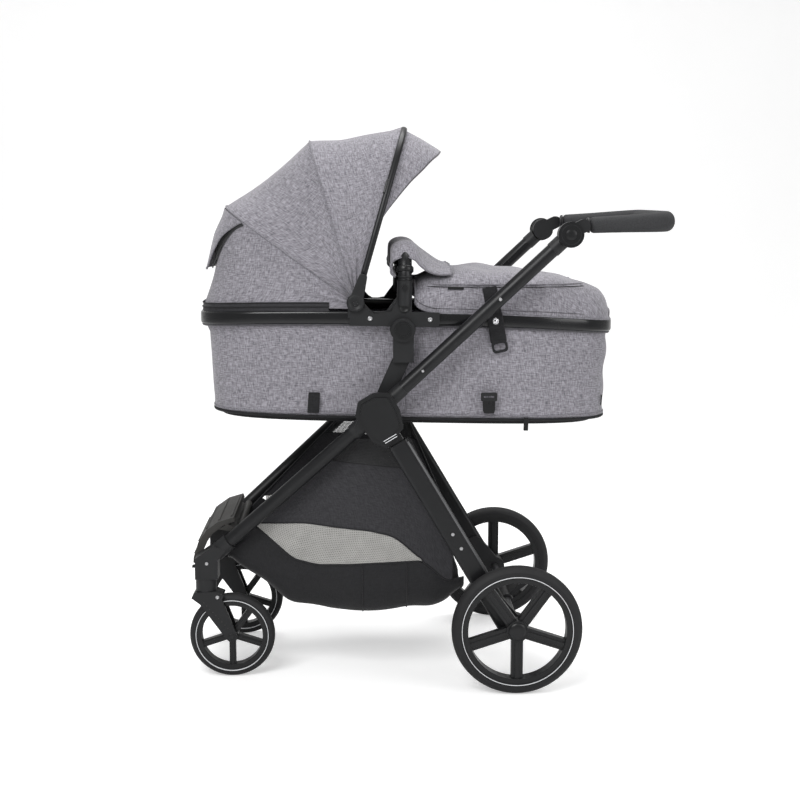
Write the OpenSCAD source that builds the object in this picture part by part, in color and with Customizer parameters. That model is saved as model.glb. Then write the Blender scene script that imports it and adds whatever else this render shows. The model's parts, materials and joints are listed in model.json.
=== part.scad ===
// Baby stroller with a carrycot on a folding A-frame chassis.
// Millimetres, +Z up, +X towards the push handle, travel along -X, left side at -Y.
// Origin: on the floor, at the middle of the overall length.

/* [Wheels] */
// Distance between the front and rear wheel axles
wheelbase = 617; // [600:1:640]
// Outer radius of a rear wheel
rear_wheel_r = 140; // [132:1:146]
// Outer radius of a front wheel
front_wheel_r = 94; // [88:1:97]
// Distance between the middle planes of the rear wheels
rear_track = 574; // [570:1:620]
// Distance between the middle planes of the front wheels
front_track = 310; // [306:1:330]
// Width of a rear tyre
rear_tyre_w = 36; // [30:1:38]
// Width of a front tyre
front_tyre_w = 30; // [24:1:34]
// Radial depth of the rear tyre
rear_tyre_d = 23; // [18:1:28]
// Radial depth of the front tyre
front_tyre_d = 15; // [12:1:18]
// Width of a rear wheel spoke
rear_spoke_w = 25; // [18:1:30]
// Width of a front wheel spoke
front_spoke_w = 14; // [10:1:18]
// Number of spokes in each wheel
spokes = 5; // [5, 6, 7]
// Radius of the rear stub axle
rear_axle_r = 6; // [5:0.5:7]
// Radius of the front axle bolt
front_axle_r = 5; // [4:0.5:6]
// Distance of the front axle behind the caster's swivel axis
caster_trail = 56; // [50:1:60]

/* [Frame] */
// Diameter of the front tubes and the push tubes
tube_d = 30; // [26:1:31]
// Half distance between the two side frames at the hubs
frame_half_w = 232; // [232:1:240]
// Height of the hub pivots
hub_z = 605; // [595:1:615]
// Width of a rear leg as seen from the side
leg_w = 46; // [40:1:48]
// Thickness of a rear leg
leg_t = 19; // [16:1:20]
// Radius of the hub's pivot pin
hub_pin_r = 7; // [5:0.5:9]
// Height of the pivots of the push handle
handle_pivot_z = 975; // [965:1:990]
// Distance of the handle's pivots behind the middle of the wheelbase
handle_pivot_x = 415; // [405:1:425]
// Reach of the handle behind its pivots
handle_reach = 240; // [230:1:255]
// Diameter of the foam grip
grip_d = 36; // [32:1:38]
// Diameter of the handle's core tube
core_d = 20; // [16:1:22]
// Wall of the frame's tubes
tube_wall = 2; // [1.5:0.5:2.5]

/* [Seat unit] */
// Length of the carrycot's rim over its rail
rim_length = 915; // [900:1:930]
// Width of the carrycot's rim over its rail
rim_width = 406; // [390:1:406]
// Height of the rail's section
rail_h = 28; // [24:1:30]
// Width of the rail's section
rail_w = 14; // [10:1:16]
// Depth of the tub below the rail
tub_depth = 205; // [185:1:210]
// Thickness of the tub's fabric wall
tub_wall = 4; // [3:0.5:6]
// Thickness of the mattress
mattress_h = 46; // [30:1:60]
// How far the seat unit leans down towards the handle, in degrees
seat_tilt = 1.2; // [0:0.1:1.5]
// Height of the foot cover's crown above the rail
cover_rise = 92; // [80:1:95]

/* [Canopy] */
// Radius of the front bow from the canopy's hinge
front_bow_r = 386; // [370:1:395]
// Radius of the middle bow
middle_bow_r = 358; // [345:1:370]
// Radius of the rear edge bow
rear_bow_r = 350; // [335:1:360]
// Thickness of the canopy's lined fabric
canopy_wall = 3; // [2:0.5:4]
// Diameter of the front bow's tube
bow_d = 13; // [11:1:15]

/* [Basket] */
// Thickness of the basket's fabric
basket_wall = 3; // [2:0.5:4]
// Height of the lowest point of the basket
basket_bottom_z = 147; // [140:1:160]

/* [Fits] */
// Radial clearance of a turning fit
run_gap = 0.05; // [0.02:0.01:0.1]
// Gap between parts that move past each other
move_gap = 1; // [0.6:0.1:1.5]
// Travel of a push button
button_travel = 3; // [2:0.5:4]

/* [Hidden] */
$fn = 48;

// ---- places, as [x, z] from the middle of the wheelbase ----
front_axle = [-wheelbase / 2, front_wheel_r];
rear_axle_at = [wheelbase / 2, rear_wheel_r];
hub = [16, hub_z];
handle_pivot = [handle_pivot_x, handle_pivot_z];
caster_x = front_axle[0] - caster_trail;
// the origin sits midway between the front wheel and the end of the handle
mid_x = -(handle_pivot[0] + handle_reach + front_axle[0] - front_wheel_r) / 2;

// ---- front tubes and knuckles ----
tube_r = tube_d / 2;
front_half = front_track / 2;
knuckle_top_z = 282;
knuckle_base_z = 224;
tube_foot = [caster_x + 22, front_half + 2, knuckle_top_z - 4];
tube_dir = [tube_foot[0] - hub[0], tube_foot[1] - frame_half_w, tube_foot[2] - hub[1]];
tube_run = norm(tube_dir);
// the tube's ends, measured along it from the hub's pivot
tube_start = 44;
socket_r = tube_r + 2.5;
knuckle_w = 48;
footrest_half = front_half - knuckle_w / 2 - 1;
// cross bar of the footrest, on the tubes' centre line at this height
footrest_bar_z = 322;
footrest_bar_r = 8;
bar_t = (footrest_bar_z - hub[1]) / tube_dir[2];
footrest_bar = [hub[0] + tube_dir[0] * bar_t, footrest_bar_z];
tube_y_at_bar = frame_half_w + tube_dir[1] * bar_t;
stem_r = 9;
swivel_r = 23;

// ---- hub layers across the frame ----
// outline of the bridge to the cover, from the pivot, clear of the eyes that turn inside it
bridge_corners = [[-31, -6], [-44, -12], [-52, -34], [-44, -46], [-34, -44], [-26, -28]];
eye_r = 25;
inner_plate_y = frame_half_w - 17;
strap_y = inner_plate_y - 9;
push_eye_y = [frame_half_w - 8, frame_half_w + 7];
leg_eye_y = [frame_half_w + 8.5, frame_half_w + 21];
cover_y = [frame_half_w + 22, frame_half_w + 38];
push_dir = [handle_pivot[0] - hub[0], handle_pivot[1] - hub[1]];
push_run = norm(push_dir);
push_turn = atan2(push_dir[0], push_dir[1]);
leg_foot = [rear_axle_at[0] - 17, rear_axle_at[1]];
leg_dir = [leg_foot[0] - hub[0], leg_foot[1] - hub[1]];
leg_run = norm(leg_dir);
leg_turn = atan2(leg_dir[0], leg_dir[1]);
leg_start = 78;
leg_y = frame_half_w + 8 + leg_t / 2;

// ---- rear axle ----
wheel_in = rear_track / 2 - rear_tyre_w / 2;
bracket_y = [leg_y - leg_t / 2 - 5, min(leg_y + leg_t / 2 + 2, wheel_in - 2)];
crossbar_r = 9;
rear_hub_r = 23;
front_hub_r = 14;

// ---- handle ----
handle_y = [frame_half_w - 20, frame_half_w - 1];
disc_y = [frame_half_w, frame_half_w + 15];
button_r = 24;
grip_start = [44, 18.5];
grip_end_x = handle_reach - grip_d / 2 - 2;
grip_end_z = 26;
handle_half = frame_half_w - 19;
grip_corner = 62;
grip_sides = 16;

// ---- seat unit, in its own level frame ----
swivel = [67, 775];
rim_x = 79.5;
rim_z = 797;
rim_droop = 16;
rail_half_l = rim_length / 2 - rail_w / 2;
rail_half_w = rim_width / 2 - rail_w / 2;
plan_n = 3.5;
housing_y = [rim_width / 2 + 0.3, rim_width / 2 + 12];
adapter_y = [rim_width / 2 + 13, rim_width / 2 + 29];
base_z = rim_z - rail_h / 2 - tub_depth;
hinge_x = -34;
hinge_z = 829;
lug_y = [rim_width / 2 + 13, rim_width / 2 + 21];
bow_half = rim_width / 2 + 1;
front_bow_a = 15;
middle_bow_a = -17.6;
rear_bow_a = -56.1;
rail_top = rim_z + rail_h / 2;
post_x = 69;
post_split_z = 878;
post_half = rim_width / 2 + 5;
rail_screw_x = [3, 122];
cover_front_x = 92;
cover_end_x = rim_x + rim_length / 2 - 4;

// ================= general shapes =================

// keeps a place given from the middle of the wheelbase in the part's frame
module placed() translate([mid_x, 0, 0]) children();

// draws a right-hand piece as it is, and mirrors it for the left side
module on_side(side) {
    if (side > 0) children();
    else mirror([0, 1, 0]) children();
}

// a flat XZ outline, carried from y0 to y1
module plate(y0, y1) translate([0, y1, 0]) rotate([90, 0, 0]) linear_extrude(y1 - y0) children();

// a round bar along Y at the place p = [x, z]
module y_bar(p, r, y0, y1) translate([p[0], y1, p[1]]) rotate([90, 0, 0]) cylinder(r = r, h = y1 - y0);

// a round bar from the point p to the point q
module rod(p, q, r) {
    d = q - p;
    translate(p) rotate([0, acos(d[2] / norm(d)), atan2(d[1], d[0])]) cylinder(r = r, h = norm(d));
}

// turns +Z to the direction that leans from up by a degrees towards +X, about the place p at width y
module along(p, y, a) translate([p[0], y, p[1]]) rotate([0, a, 0]) children();

// a flat oval outline, w across and t thick
module oval(w, t) {
    square([w - t, t], center = true);
    for (s = [-1, 1]) translate([s * (w - t) / 2, 0]) circle(t / 2);
}

// an outline with round ends between two places, for hull-free links
module link(p, q, r) {
    d = q - p;
    translate(p) circle(r);
    translate(q) circle(r);
    translate(p) rotate(atan2(d[1], d[0])) translate([0, -r]) square([norm(d), 2 * r]);
}

function signed_pow(v, e) = sign(v) * pow(abs(v), e);
function mix(a, b, t) = a + (b - a) * t;
function unit(v) = v / norm(v);

// the value at x of the line through the [x, value] pairs of a table
function on_line(table, x, i = 0) =
    i >= len(table) - 2 || x <= table[i + 1][0]
        ? mix(table[i][1], table[i + 1][1], (x - table[i][0]) / (table[i + 1][0] - table[i][0]))
        : on_line(table, x, i + 1);

// faces of a grid of points, rows x cols, wrapped round its columns when closed
function grid_faces(rows, cols, first, closed, flip) = [
    for (i = [0 : rows - 2], j = [0 : cols - (closed ? 1 : 2)])
        let (a = first + i * cols + j, b = first + i * cols + (j + 1) % cols, c = b + cols, d = a + cols)
        each (flip ? [[a, b, c], [a, c, d]] : [[a, c, b], [a, d, c]])];

// a strip that joins the point runs p and q
function strip(p, q, flip) = [
    for (i = [0 : len(p) - 2])
        each (flip ? [[p[i], q[i], q[i + 1]], [p[i], q[i + 1], p[i + 1]]]
                   : [[p[i], q[i + 1], q[i]], [p[i], p[i + 1], q[i + 1]]])];

// a closed skin between two grids of points of the same size, open sheets
module sheet_solid(outer, inner) {
    rows = len(outer);
    cols = len(outer[0]);
    n = rows * cols;
    top = [for (j = [0 : cols - 1]) j];
    end = [for (j = [0 : cols - 1]) (rows - 1) * cols + j];
    left = [for (i = [0 : rows - 1]) i * cols];
    right = [for (i = [0 : rows - 1]) i * cols + cols - 1];
    shift = function(list) [for (v = list) v + n];
    polyhedron(points = [for (r = outer) each r, for (r = inner) each r],
        faces = concat(grid_faces(rows, cols, 0, false, false), grid_faces(rows, cols, n, false, true),
            strip(top, shift(top), false), strip(end, shift(end), true),
            strip(left, shift(left), true), strip(right, shift(right), false)));
}

// a closed wall between two grids whose columns go all the way round
module ring_solid(outer, inner) {
    rows = len(outer);
    cols = len(outer[0]);
    n = rows * cols;
    loop = function(first) [for (j = [0 : cols]) first + j % cols];
    polyhedron(points = [for (r = outer) each r, for (r = inner) each r],
        faces = concat(grid_faces(rows, cols, 0, true, false), grid_faces(rows, cols, n, true, true),
            strip(loop(0), loop(n), false),
            strip(loop((rows - 1) * cols), loop(n + (rows - 1) * cols), true)));
}

// a section swept along a path; up is the fixed direction that the section's second axis keeps to
module sweep(path, section, up, closed = false) {
    m = len(path);
    k = len(section);
    rings = [for (i = [0 : m - 1])
        let (a = closed ? path[(i + m - 1) % m] : path[max(i - 1, 0)],
            b = closed ? path[(i + 1) % m] : path[min(i + 1, m - 1)],
            side = unit(cross(b - a, up)))
        [for (s = section) path[i] + s[0] * side + s[1] * up]];
    sides = grid_faces(closed ? m + 1 : m, k, 0, true, true);
    polyhedron(points = [for (r = rings) each r],
        faces = closed ? [for (f = sides) [for (v = f) v % (m * k)]]
            : concat(sides, [[for (j = [0 : k - 1]) k - 1 - j]], [[for (j = [0 : k - 1]) (m - 1) * k + j]]));
}

function ring(a, b, n = 12) = [for (i = [0 : n - 1]) [a * cos(i * 360 / n), b * sin(i * 360 / n)]];

// ================= chassis =================

function tube_point(d) = [hub[0], frame_half_w, hub[1]] + tube_dir / tube_run * d;

module front_tube(side) color("#17181a") placed() on_side(side) difference() {
    rod(tube_point(tube_start), tube_point(tube_run), tube_r);
    rod(tube_point(tube_start - 1), tube_point(tube_run + 1), tube_r - tube_wall);
}

// block that holds the tube's lower end above the swivel, with the front face for the lock lever
module knuckle(side) color("#202123") placed() on_side(side) difference() {
    union() {
        plate(front_half - knuckle_w / 2, front_half + knuckle_w / 2)
            polygon([[caster_x - 22, knuckle_base_z], [caster_x + 28, knuckle_base_z],
                [caster_x + 28, knuckle_base_z + 42], [caster_x + 46, knuckle_base_z + 66],
                [caster_x + 18, knuckle_base_z + 74], [caster_x - 22, knuckle_base_z + 46]]);
        rod(tube_point(tube_run - 44), tube_point(tube_run - 2), socket_r + 1);
    }
    rod(tube_point(tube_start), tube_point(tube_run), tube_r);
    translate([caster_x, front_half, knuckle_base_z - 1]) cylinder(r = stem_r + run_gap, h = 32);
    // slot that the lock lever slides in
    translate([caster_x - 23, front_half - 7, knuckle_base_z + 10]) cube([5, 14, 22]);
}

// lever that slides down to hold the caster straight
module swivel_lock(side) color("#111213") placed() on_side(side) {
    translate([caster_x - 21.6, front_half - 6.5, knuckle_base_z + 19]) cube([3.4, 13, 12]);
    translate([caster_x - 30, front_half - 5, knuckle_base_z + 22]) cube([8.5, 10, 5]);
}

// curved plate between the front tubes, on a cross bar whose ends are shaped to the tubes
module footrest() color("#2a2a29") placed() difference() {
    union() {
        plate(-footrest_half, footrest_half)
            polygon([[caster_x + 60, 352], [caster_x + 26, 342], [caster_x - 2, 322], [caster_x - 20, 294],
                [caster_x - 30, 262], [caster_x - 31, 250], [caster_x - 22, 248], [caster_x - 15, 262],
                [caster_x - 4, 290], [caster_x + 12, 314], [caster_x + 36, 333], [caster_x + 63, 343]]);
        y_bar(footrest_bar, footrest_bar_r, -tube_y_at_bar, tube_y_at_bar);
        plate(-footrest_half, footrest_half)
            polygon([footrest_bar + [-6, -4], footrest_bar + [6, -2], [caster_x + 46, 337], [caster_x + 26, 325]]);
    }
    for (s = [-1, 1]) on_side(s) rod(tube_point(tube_start), tube_point(tube_run), tube_r);
}

// hub housing: inner plate, pivot pin, front tube socket and outer plate under the cover
module hub_housing(side) color("#1c1d1f") placed() on_side(side) difference() {
    union() {
        y_bar(hub, eye_r, inner_plate_y, push_eye_y[0] - move_gap);
        y_bar(hub, hub_pin_r, inner_plate_y, cover_y[0]);
        difference() {
            rod(tube_point(26), tube_point(tube_start + 30), socket_r);
            y_bar(hub, 90, leg_eye_y[0] - move_gap, cover_y[1]);
        }
        // bridge from the inner plate out to the cover, on the front tube's side
        plate(inner_plate_y, push_eye_y[0] - move_gap) link(hub, hub + [-26, -24], 16);
        plate(frame_half_w - 10, cover_y[0]) polygon([for (c = bridge_corners) hub + c]);
    }
    rod(tube_point(tube_start), tube_point(tube_run), tube_r);
}

hub_corners = [[20, 41], [-12, 41], [-44, 22], [-50, -6], [-12, -62], [14, -73], [50, -34], [44, 4]];
function hub_outline(grow) = [for (c = hub_corners) hub + c + unit(c + [0, 10]) * grow];

// smooth caps over both hubs, with a raised inner field and two fine grooves at the lower end
module hub_covers() color("#1a1b1d") placed() for (side = [-1, 1]) on_side(side) difference() {
    union() {
        plate(cover_y[0], cover_y[1] - 4) offset(r = 9) polygon(hub_outline(-9));
        plate(cover_y[1] - 4.5, cover_y[1]) offset(r = 7) polygon(hub_outline(-17));
    }
    for (g = [0, 5]) along(hub, cover_y[1], leg_turn) translate([-30, -0.8, 56 + g]) cube([60, 2, 1.4]);
}

// arm that carries the seat unit: a disc with a stub shaft, a block above the tube, and a strap that
// runs down inside the tube to the hub's inner plate
module seat_adapter(side) color("#1b1c1e") placed() on_side(side) difference() {
    union() {
        y_bar(swivel, 25, adapter_y[0], adapter_y[1]);
        plate(adapter_y[0], adapter_y[0] + 10) translate([46, 706]) square([44, 69]);
        plate(strap_y, adapter_y[0] + 8) translate([48, 708]) square([40, 32]);
        plate(strap_y, inner_plate_y) link(hub, [68, 721], 18);
        y_bar(swivel, 9 - run_gap, housing_y[0] + 1, adapter_y[0] + 1);
    }
    y_bar(swivel, 17, adapter_y[1] - 8, adapter_y[1] + 1);
    y_bar(swivel, 4 + run_gap, adapter_y[0] - 20, adapter_y[1] + 1);
}

// heads of the screws in the hubs' inner plates and the knuckles
module frame_screws() color("#8d8f92") placed() for (side = [-1, 1]) on_side(side) {
    translate([caster_x + 4, front_half + knuckle_w / 2, knuckle_base_z + 36]) rotate([-90, 0, 0])
        cylinder(r = 3.5, h = 1.6);
    y_bar(hub, 5, strap_y - 2, strap_y);
}

// ---- shopping basket ----
basket_top = [[-318, 284], [-63, 538], [82, 538], [194, 216]];
basket_low = [[-318, 271], [-270, 232], [-182, basket_bottom_z + 20], [-93, basket_bottom_z],
    [61, basket_bottom_z + 3], [171, basket_bottom_z + 35], [194, basket_bottom_z + 55]];
basket_wide = [[-318, front_half - 20], [-180, front_half + 4], [-40, frame_half_w - 40], [194, frame_half_w - 28]];
basket_x = [-318, -294, -270, -240, -210, -182, -150, -120, -93, -63, -20, 25, 61, 82, 110, 140, 171, 194];

function basket_section(x, wall, steps = 22) =
    let (top = on_line(basket_top, x), low = on_line(basket_low, x) + wall,
        half = on_line(basket_wide, x) - wall, n = 2 / 4.5)
    [for (j = [0 : steps]) let (a = j * 180 / steps)
        [x, half * signed_pow(cos(a), n), top - (top - low) * pow(max(sin(a), 0), n)]];

module basket() color("#1f1f22") placed()
    sheet_solid([for (x = basket_x) basket_section(x, 0)], [for (x = basket_x) basket_section(x, basket_wall)]);

// ================= rear frame =================

// oval bar along the leg's centre line, from d0 to d1 below the hub
module leg_bar(d0, d1, w, t) along(hub, leg_y, leg_turn) translate([0, 0, d0]) linear_extrude(d1 - d0) oval(w, t);

module rear_leg(side) color("#1a1b1c") placed() on_side(side) difference() {
    union() {
        difference() {
            leg_bar(leg_start, leg_run, leg_w, leg_t);
            leg_bar(leg_start + 30, leg_run + 1, leg_w - 2 * tube_wall, leg_t - 2 * tube_wall);
        }
        // tongue that reaches up to the pivot
        y_bar(hub, eye_r - 3, leg_eye_y[0], leg_eye_y[1]);
        plate(leg_eye_y[0], leg_eye_y[1])
            link(hub, hub + leg_dir / leg_run * (leg_start + 12), 14);
    }
    y_bar(hub, hub_pin_r + run_gap, 0, cover_y[1]);
    y_bar(rear_axle_at, 25, 0, cover_y[1]);
}

// one tube across the frame with a stub for each wheel
module rear_axle() color("#3a3b3d") placed() {
    y_bar(rear_axle_at, crossbar_r, -bracket_y[1], bracket_y[1]);
    y_bar(rear_axle_at, rear_axle_r, -rear_track / 2 - 14, rear_track / 2 + 14);
}

module axle_brackets() color("#18191a") placed() for (side = [-1, 1]) on_side(side) difference() {
    plate(bracket_y[0], bracket_y[1]) {
        translate(rear_axle_at) circle(24);
        link(rear_axle_at + [-14, 14], leg_foot - leg_dir / leg_run * 66, 20);
    }
    y_bar(rear_axle_at, crossbar_r, 0, bracket_y[1] + 1);
    leg_bar(leg_start, leg_run, leg_w, leg_t);
}

module leg_screws() color("#9a9b9d") placed() for (side = [-1, 1], d = [138, 174]) on_side(side)
    along(hub, leg_y + leg_t / 2, leg_turn) translate([0, 0, leg_run - d - 60]) rotate([-90, 0, 0])
        cylinder(r = 3.5, h = 1.8);

// pedal on a sleeve round the axle
module brake_pedal() color("#242527") placed() difference() {
    union() {
        y_bar(rear_axle_at, crossbar_r + 5, -64, 64);
        plate(-52, 52) polygon([rear_axle_at + [4, 9], rear_axle_at + [10, 5], rear_axle_at + [46, 32],
            rear_axle_at + [52, 42], rear_axle_at + [48, 50], rear_axle_at + [40, 44]]);
    }
    y_bar(rear_axle_at, crossbar_r + run_gap, -70, 70);
}

// ================= push frame =================

push_start = 40;
push_end = push_run - 22;

module push_bar(d0, d1, r) along(hub, frame_half_w, push_turn) translate([0, 0, d0]) cylinder(r = r, h = d1 - d0);

module push_tube(side) color("#17181a") placed() on_side(side) difference() {
    push_bar(push_start, push_end, tube_r);
    push_bar(push_start - 1, push_end + 1, tube_r - tube_wall);
    // flat seat for the fold slider on the inner face
    along(hub, frame_half_w, push_turn) translate([-5, -tube_r - 1, push_end - 120]) cube([10, 1.9, 90]);
    // room for the handle's inner disc
    y_bar(handle_pivot, 26, handle_y[0] - 1, disc_y[0]);
}

// lower eye with its collar, and upper disc with its collar, on both push tubes
module push_sockets() color("#202123") placed() for (side = [-1, 1]) on_side(side) difference() {
    union() {
        y_bar(hub, eye_r - 2, push_eye_y[0], push_eye_y[1]);
        push_bar(27, 69, tube_r + 0.9);
        plate(push_eye_y[0], push_eye_y[1]) link(hub, hub + push_dir / push_run * 34, 11);
        y_bar(handle_pivot, 25, disc_y[0], disc_y[1]);
        push_bar(push_end - 26, push_end + 4, tube_r + 1.5);
        plate(disc_y[0], disc_y[1] - 3) link(handle_pivot, handle_pivot - push_dir / push_run * 26, 12);
    }
    y_bar(hub, hub_pin_r + run_gap, 0, cover_y[1]);
    push_bar(push_start, push_end, tube_r);
    y_bar(handle_pivot, 7 + run_gap, disc_y[0] - 1, disc_y[1] + 1);
    y_bar(handle_pivot, 26, handle_y[0] - 1, disc_y[0]);
    // room for the pressed button over the collar
    y_bar(handle_pivot, button_r + 4, disc_y[1] + 0.2, disc_y[1] + 12);
    y_bar(hub, eye_r + move_gap, 0, push_eye_y[0]);
}

// finger slider that frees the fold
module fold_slider(side) color("#2b2c2e") placed() on_side(side)
    along(hub, frame_half_w, push_turn) translate([-4.4, -tube_r - 3, push_end - 108]) {
        cube([8.8, 3.7, 48]);
        translate([0, -3, 18]) cube([8.8, 4, 12]);
    }

// ================= handle =================

// centre line of the handle, from the left neck round to the right one
function handle_path(steps = 7) =
    let (x0 = handle_pivot[0] + grip_start[0], z0 = handle_pivot[1] + grip_start[1],
        x1 = handle_pivot[0] + grip_end_x, z1 = handle_pivot[1] + grip_end_z,
        c = grip_corner, w = handle_half - 8,
        rise = function(x) mix(z0, z1, (x - x0) / (x1 - x0)),
        corner = [for (i = [0 : steps]) let (a = i * 90 / steps) [x1 - c + c * sin(a), w - c + c * cos(a)]],
        half = concat([[x0 - 6, w], [x0 + 40, w], [x0 + 90, w]], corner, [[x1, 30]]))
    concat([for (p = half) [p[0], -p[1], rise(p[0])]],
        [for (i = [len(half) - 1 : -1 : 0]) let (p = half[i]) [p[0], p[1], rise(p[0])]]);

// thickness of the grip, fullest across the back
function grip_swell(x) = mix(0.94, 1.22, pow(max(0, (x - handle_pivot[0] - grip_start[0]) / grip_end_x), 1.5));

module handle_core() color("#1c1d1f") placed()
    sweep(handle_path(), ring(core_d / 2, core_d / 2, grip_sides), [0, 0, 1]);

module handle_grip() color("#2c2d2f") placed() {
    path = [for (p = handle_path()) p + (p[0] < handle_pivot[0] + grip_start[0] ? [6, 0, 0] : [0, 0, 0])];
    m = len(path);
    k = grip_sides;
    rings = [for (q = [0, 1], i = [0 : m - 1])
        let (a = path[max(i - 1, 0)], b = path[min(i + 1, m - 1)], side = unit(cross(b - a, [0, 0, 1])),
            r = q == 0 ? grip_d / 2 : core_d / 2 + 0.02, swell = q == 0 ? grip_swell(path[i][0]) : 1)
        [for (s = ring(r, r * swell, k)) path[i] + s[0] * side + [0, 0, s[1]]]];
    n = m * k;
    loop = function(first) [for (j = [0 : k]) first + j % k];
    polyhedron(points = [for (r = rings) each r],
        faces = concat(grid_faces(m, k, 0, true, true), grid_faces(m, k, n, true, false),
            strip(loop(0), loop(n), true), strip(loop((m - 1) * k), loop(n + (m - 1) * k), false)));
}

// inner pivot discs with the necks that lead to the grip
module handle_hinges() color("#1e1f21") placed() for (side = [-1, 1]) on_side(side) difference() {
    union() {
        y_bar(handle_pivot, 24, handle_y[0], handle_y[1]);
        plate(handle_y[0], handle_y[1]) link(handle_pivot + [2, 4], handle_pivot + grip_start + [-14, -1], 14);
        y_bar(handle_pivot, 7, handle_y[1] - 1, disc_y[1] - 4);
    }
    sweep(handle_path(), ring(core_d / 2, core_d / 2, grip_sides), [0, 0, 1]);
    y_bar(handle_pivot, 3, handle_y[0] + 6, disc_y[1]);
}

// round button over the pivot, pressed inwards to free the tilt
module handle_button(side) color("#17181a") placed() on_side(side) {
    y_bar(handle_pivot, button_r + 3, disc_y[1] + button_travel + 0.5, disc_y[1] + button_travel + 8);
    y_bar(handle_pivot, 3 - run_gap, disc_y[1] - 8, disc_y[1] + button_travel + 1);
}

// ================= wheels =================

// tyre as a turned ring with a rounded tread
module tyre(p, r, w, depth, y) color("#1b1c1e") placed() translate([p[0], y, p[1]]) rotate([90, 0, 0])
    rotate_extrude($fn = 96) difference() {
        union() {
            translate([r - depth, -w / 2 + 3]) square([depth - w / 4, w - 6]);
            translate([r - w / 2, 0]) circle(w / 2);
        }
        translate([0, -w]) square([r - depth, 2 * w]);
        translate([r - depth - 1, w / 2 - 1]) square([w, w]);
        translate([r - depth - 1, -3 * w / 2 + 1]) square([w, w]);
    }

// rim ring, spokes with raised ribs, and a hub
module rim(p, r, w, depth, y, spoke_w, hub_r, bore_r, out, first) color("#222325") placed()
    translate([p[0], y, p[1]]) rotate([90, 0, 0]) difference() {
        union() {
            difference() {
                cylinder(r = r - depth, h = w - 6, center = true, $fn = 96);
                cylinder(r = r - depth - 12, h = w, center = true, $fn = 96);
            }
            cylinder(r = hub_r, h = w - 2, center = true);
            for (i = [0 : spokes - 1]) rotate([0, 0, first + i * 360 / spokes]) {
                translate([0, -spoke_w / 2, -w / 4]) cube([r - depth - 5, spoke_w, w / 2]);
                translate([0, -spoke_w / 5, -w / 3]) cube([r - depth - 8, spoke_w / 2.5, w / 1.5]);
            }
        }
        cylinder(r = bore_r + run_gap, h = 2 * w, center = true);
        // recess behind the hub cap
        translate([0, 0, out * (w / 2 - 2)]) cylinder(r = hub_r - 5, h = 6, center = true);
    }

module rear_tyre(side) tyre(rear_axle_at, rear_wheel_r, rear_tyre_w, rear_tyre_d, side * rear_track / 2);
module rear_rim(side) rim(rear_axle_at, rear_wheel_r, rear_tyre_w, rear_tyre_d, side * rear_track / 2,
    rear_spoke_w, rear_hub_r, rear_axle_r, -side, side > 0 ? 90 : -90);
module front_tyre(side) tyre(front_axle, front_wheel_r, front_tyre_w, front_tyre_d, side * front_half);
module front_rim(side) rim(front_axle, front_wheel_r, front_tyre_w, front_tyre_d, side * front_half,
    front_spoke_w, front_hub_r, front_axle_r, -side, -90);

// caster fork: round neck, bevelled crown, two blades and the axle bolt
module fork(side) color("#1d1e20") placed() on_side(side) {
    blade_in = front_tyre_w / 2 + 2;
    blade_t = 7;
    difference() {
        union() {
            translate([caster_x, front_half, 186]) cylinder(r = swivel_r, h = knuckle_base_z - 0.3 - 186);
            translate([caster_x, front_half, 186]) cylinder(r = stem_r, h = knuckle_base_z + 28 - 186);
            plate(front_half - blade_in - blade_t, front_half + blade_in + blade_t)
                polygon([[caster_x - 31, 182], [caster_x - 24, 194], [caster_x + 20, 196], [caster_x + 40, 188],
                    [caster_x + 34, 172], [caster_x - 10, 166]]);
            for (s = [-1, 1]) plate(front_half + s * (blade_in + blade_t / 2) - blade_t / 2,
                front_half + s * (blade_in + blade_t / 2) + blade_t / 2) {
                polygon([[caster_x - 18, 176], [caster_x + 34, 184], front_axle + [12, 2], front_axle + [-11, -6]]);
                translate(front_axle) circle(12);
            }
        }
        translate([front_axle[0], front_half + blade_in, front_axle[1]]) rotate([90, 0, 0])
            cylinder(r = front_wheel_r + 3, h = 2 * blade_in, $fn = 96);
    }
    y_bar(front_axle, front_axle_r, front_half - blade_in - blade_t - 1.5, front_half + blade_in + blade_t + 1.5);
}

// ================= seat unit =================

// turns the level seat unit to its lean, about the swivel
module leaning() placed() translate([swivel[0], 0, swivel[1]]) rotate([0, seat_tilt, 0])
    translate([-swivel[0], 0, -swivel[1]]) children();

// how far the rail drops below its middle height at x
function droop(x) = rim_droop * pow(min(1, abs(x - rim_x) / (rim_length / 2)), 3);

// one point round a plan outline of half lengths a and b, at the angle t
function plan_point(a, b, t, n = plan_n) = [a * signed_pow(cos(t), 2 / n), b * signed_pow(sin(t), 2 / n)];

plan_steps = 64;
function plan_ring(a, b, z, dx = 0) = [
    for (i = [0 : plan_steps - 1]) let (q = plan_point(a, b, i * 360 / plan_steps), x = rim_x + dx + q[0])
        [x, q[1], z - droop(x) * max(0, min(1, (z - base_z) / 60))]];

module rim_rail() color("#141516") leaning() {
    path = plan_ring(rail_half_l, rail_half_w, rim_z);
    sweep(path, ring(rail_w / 2, rail_h / 2, 12), [0, 0, 1], closed = true);
}

tub_rows = [[-3, 3, 0], [-12, -60, 0], [-16, -130, 0], [-20, -tub_depth + 22, 0],
    [-30, -tub_depth + 6, 3], [-44, -tub_depth, 8]];

function tub_skin(wall) = [for (r = tub_rows)
    plan_ring(rail_half_l + r[0] - wall, rail_half_w + r[0] * 0.6 - wall, rim_z - rail_h / 2 + r[1], r[2])];

// fabric tub that hangs from the rail
module tub() color("#9b98a0") leaning() ring_solid(tub_skin(0), tub_skin(tub_wall));

module plan_slab(a, b, z, h, dx) translate([rim_x + dx, 0, z]) linear_extrude(h)
    polygon([for (i = [0 : plan_steps - 1]) plan_point(a, b, i * 360 / plan_steps)]);

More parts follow.
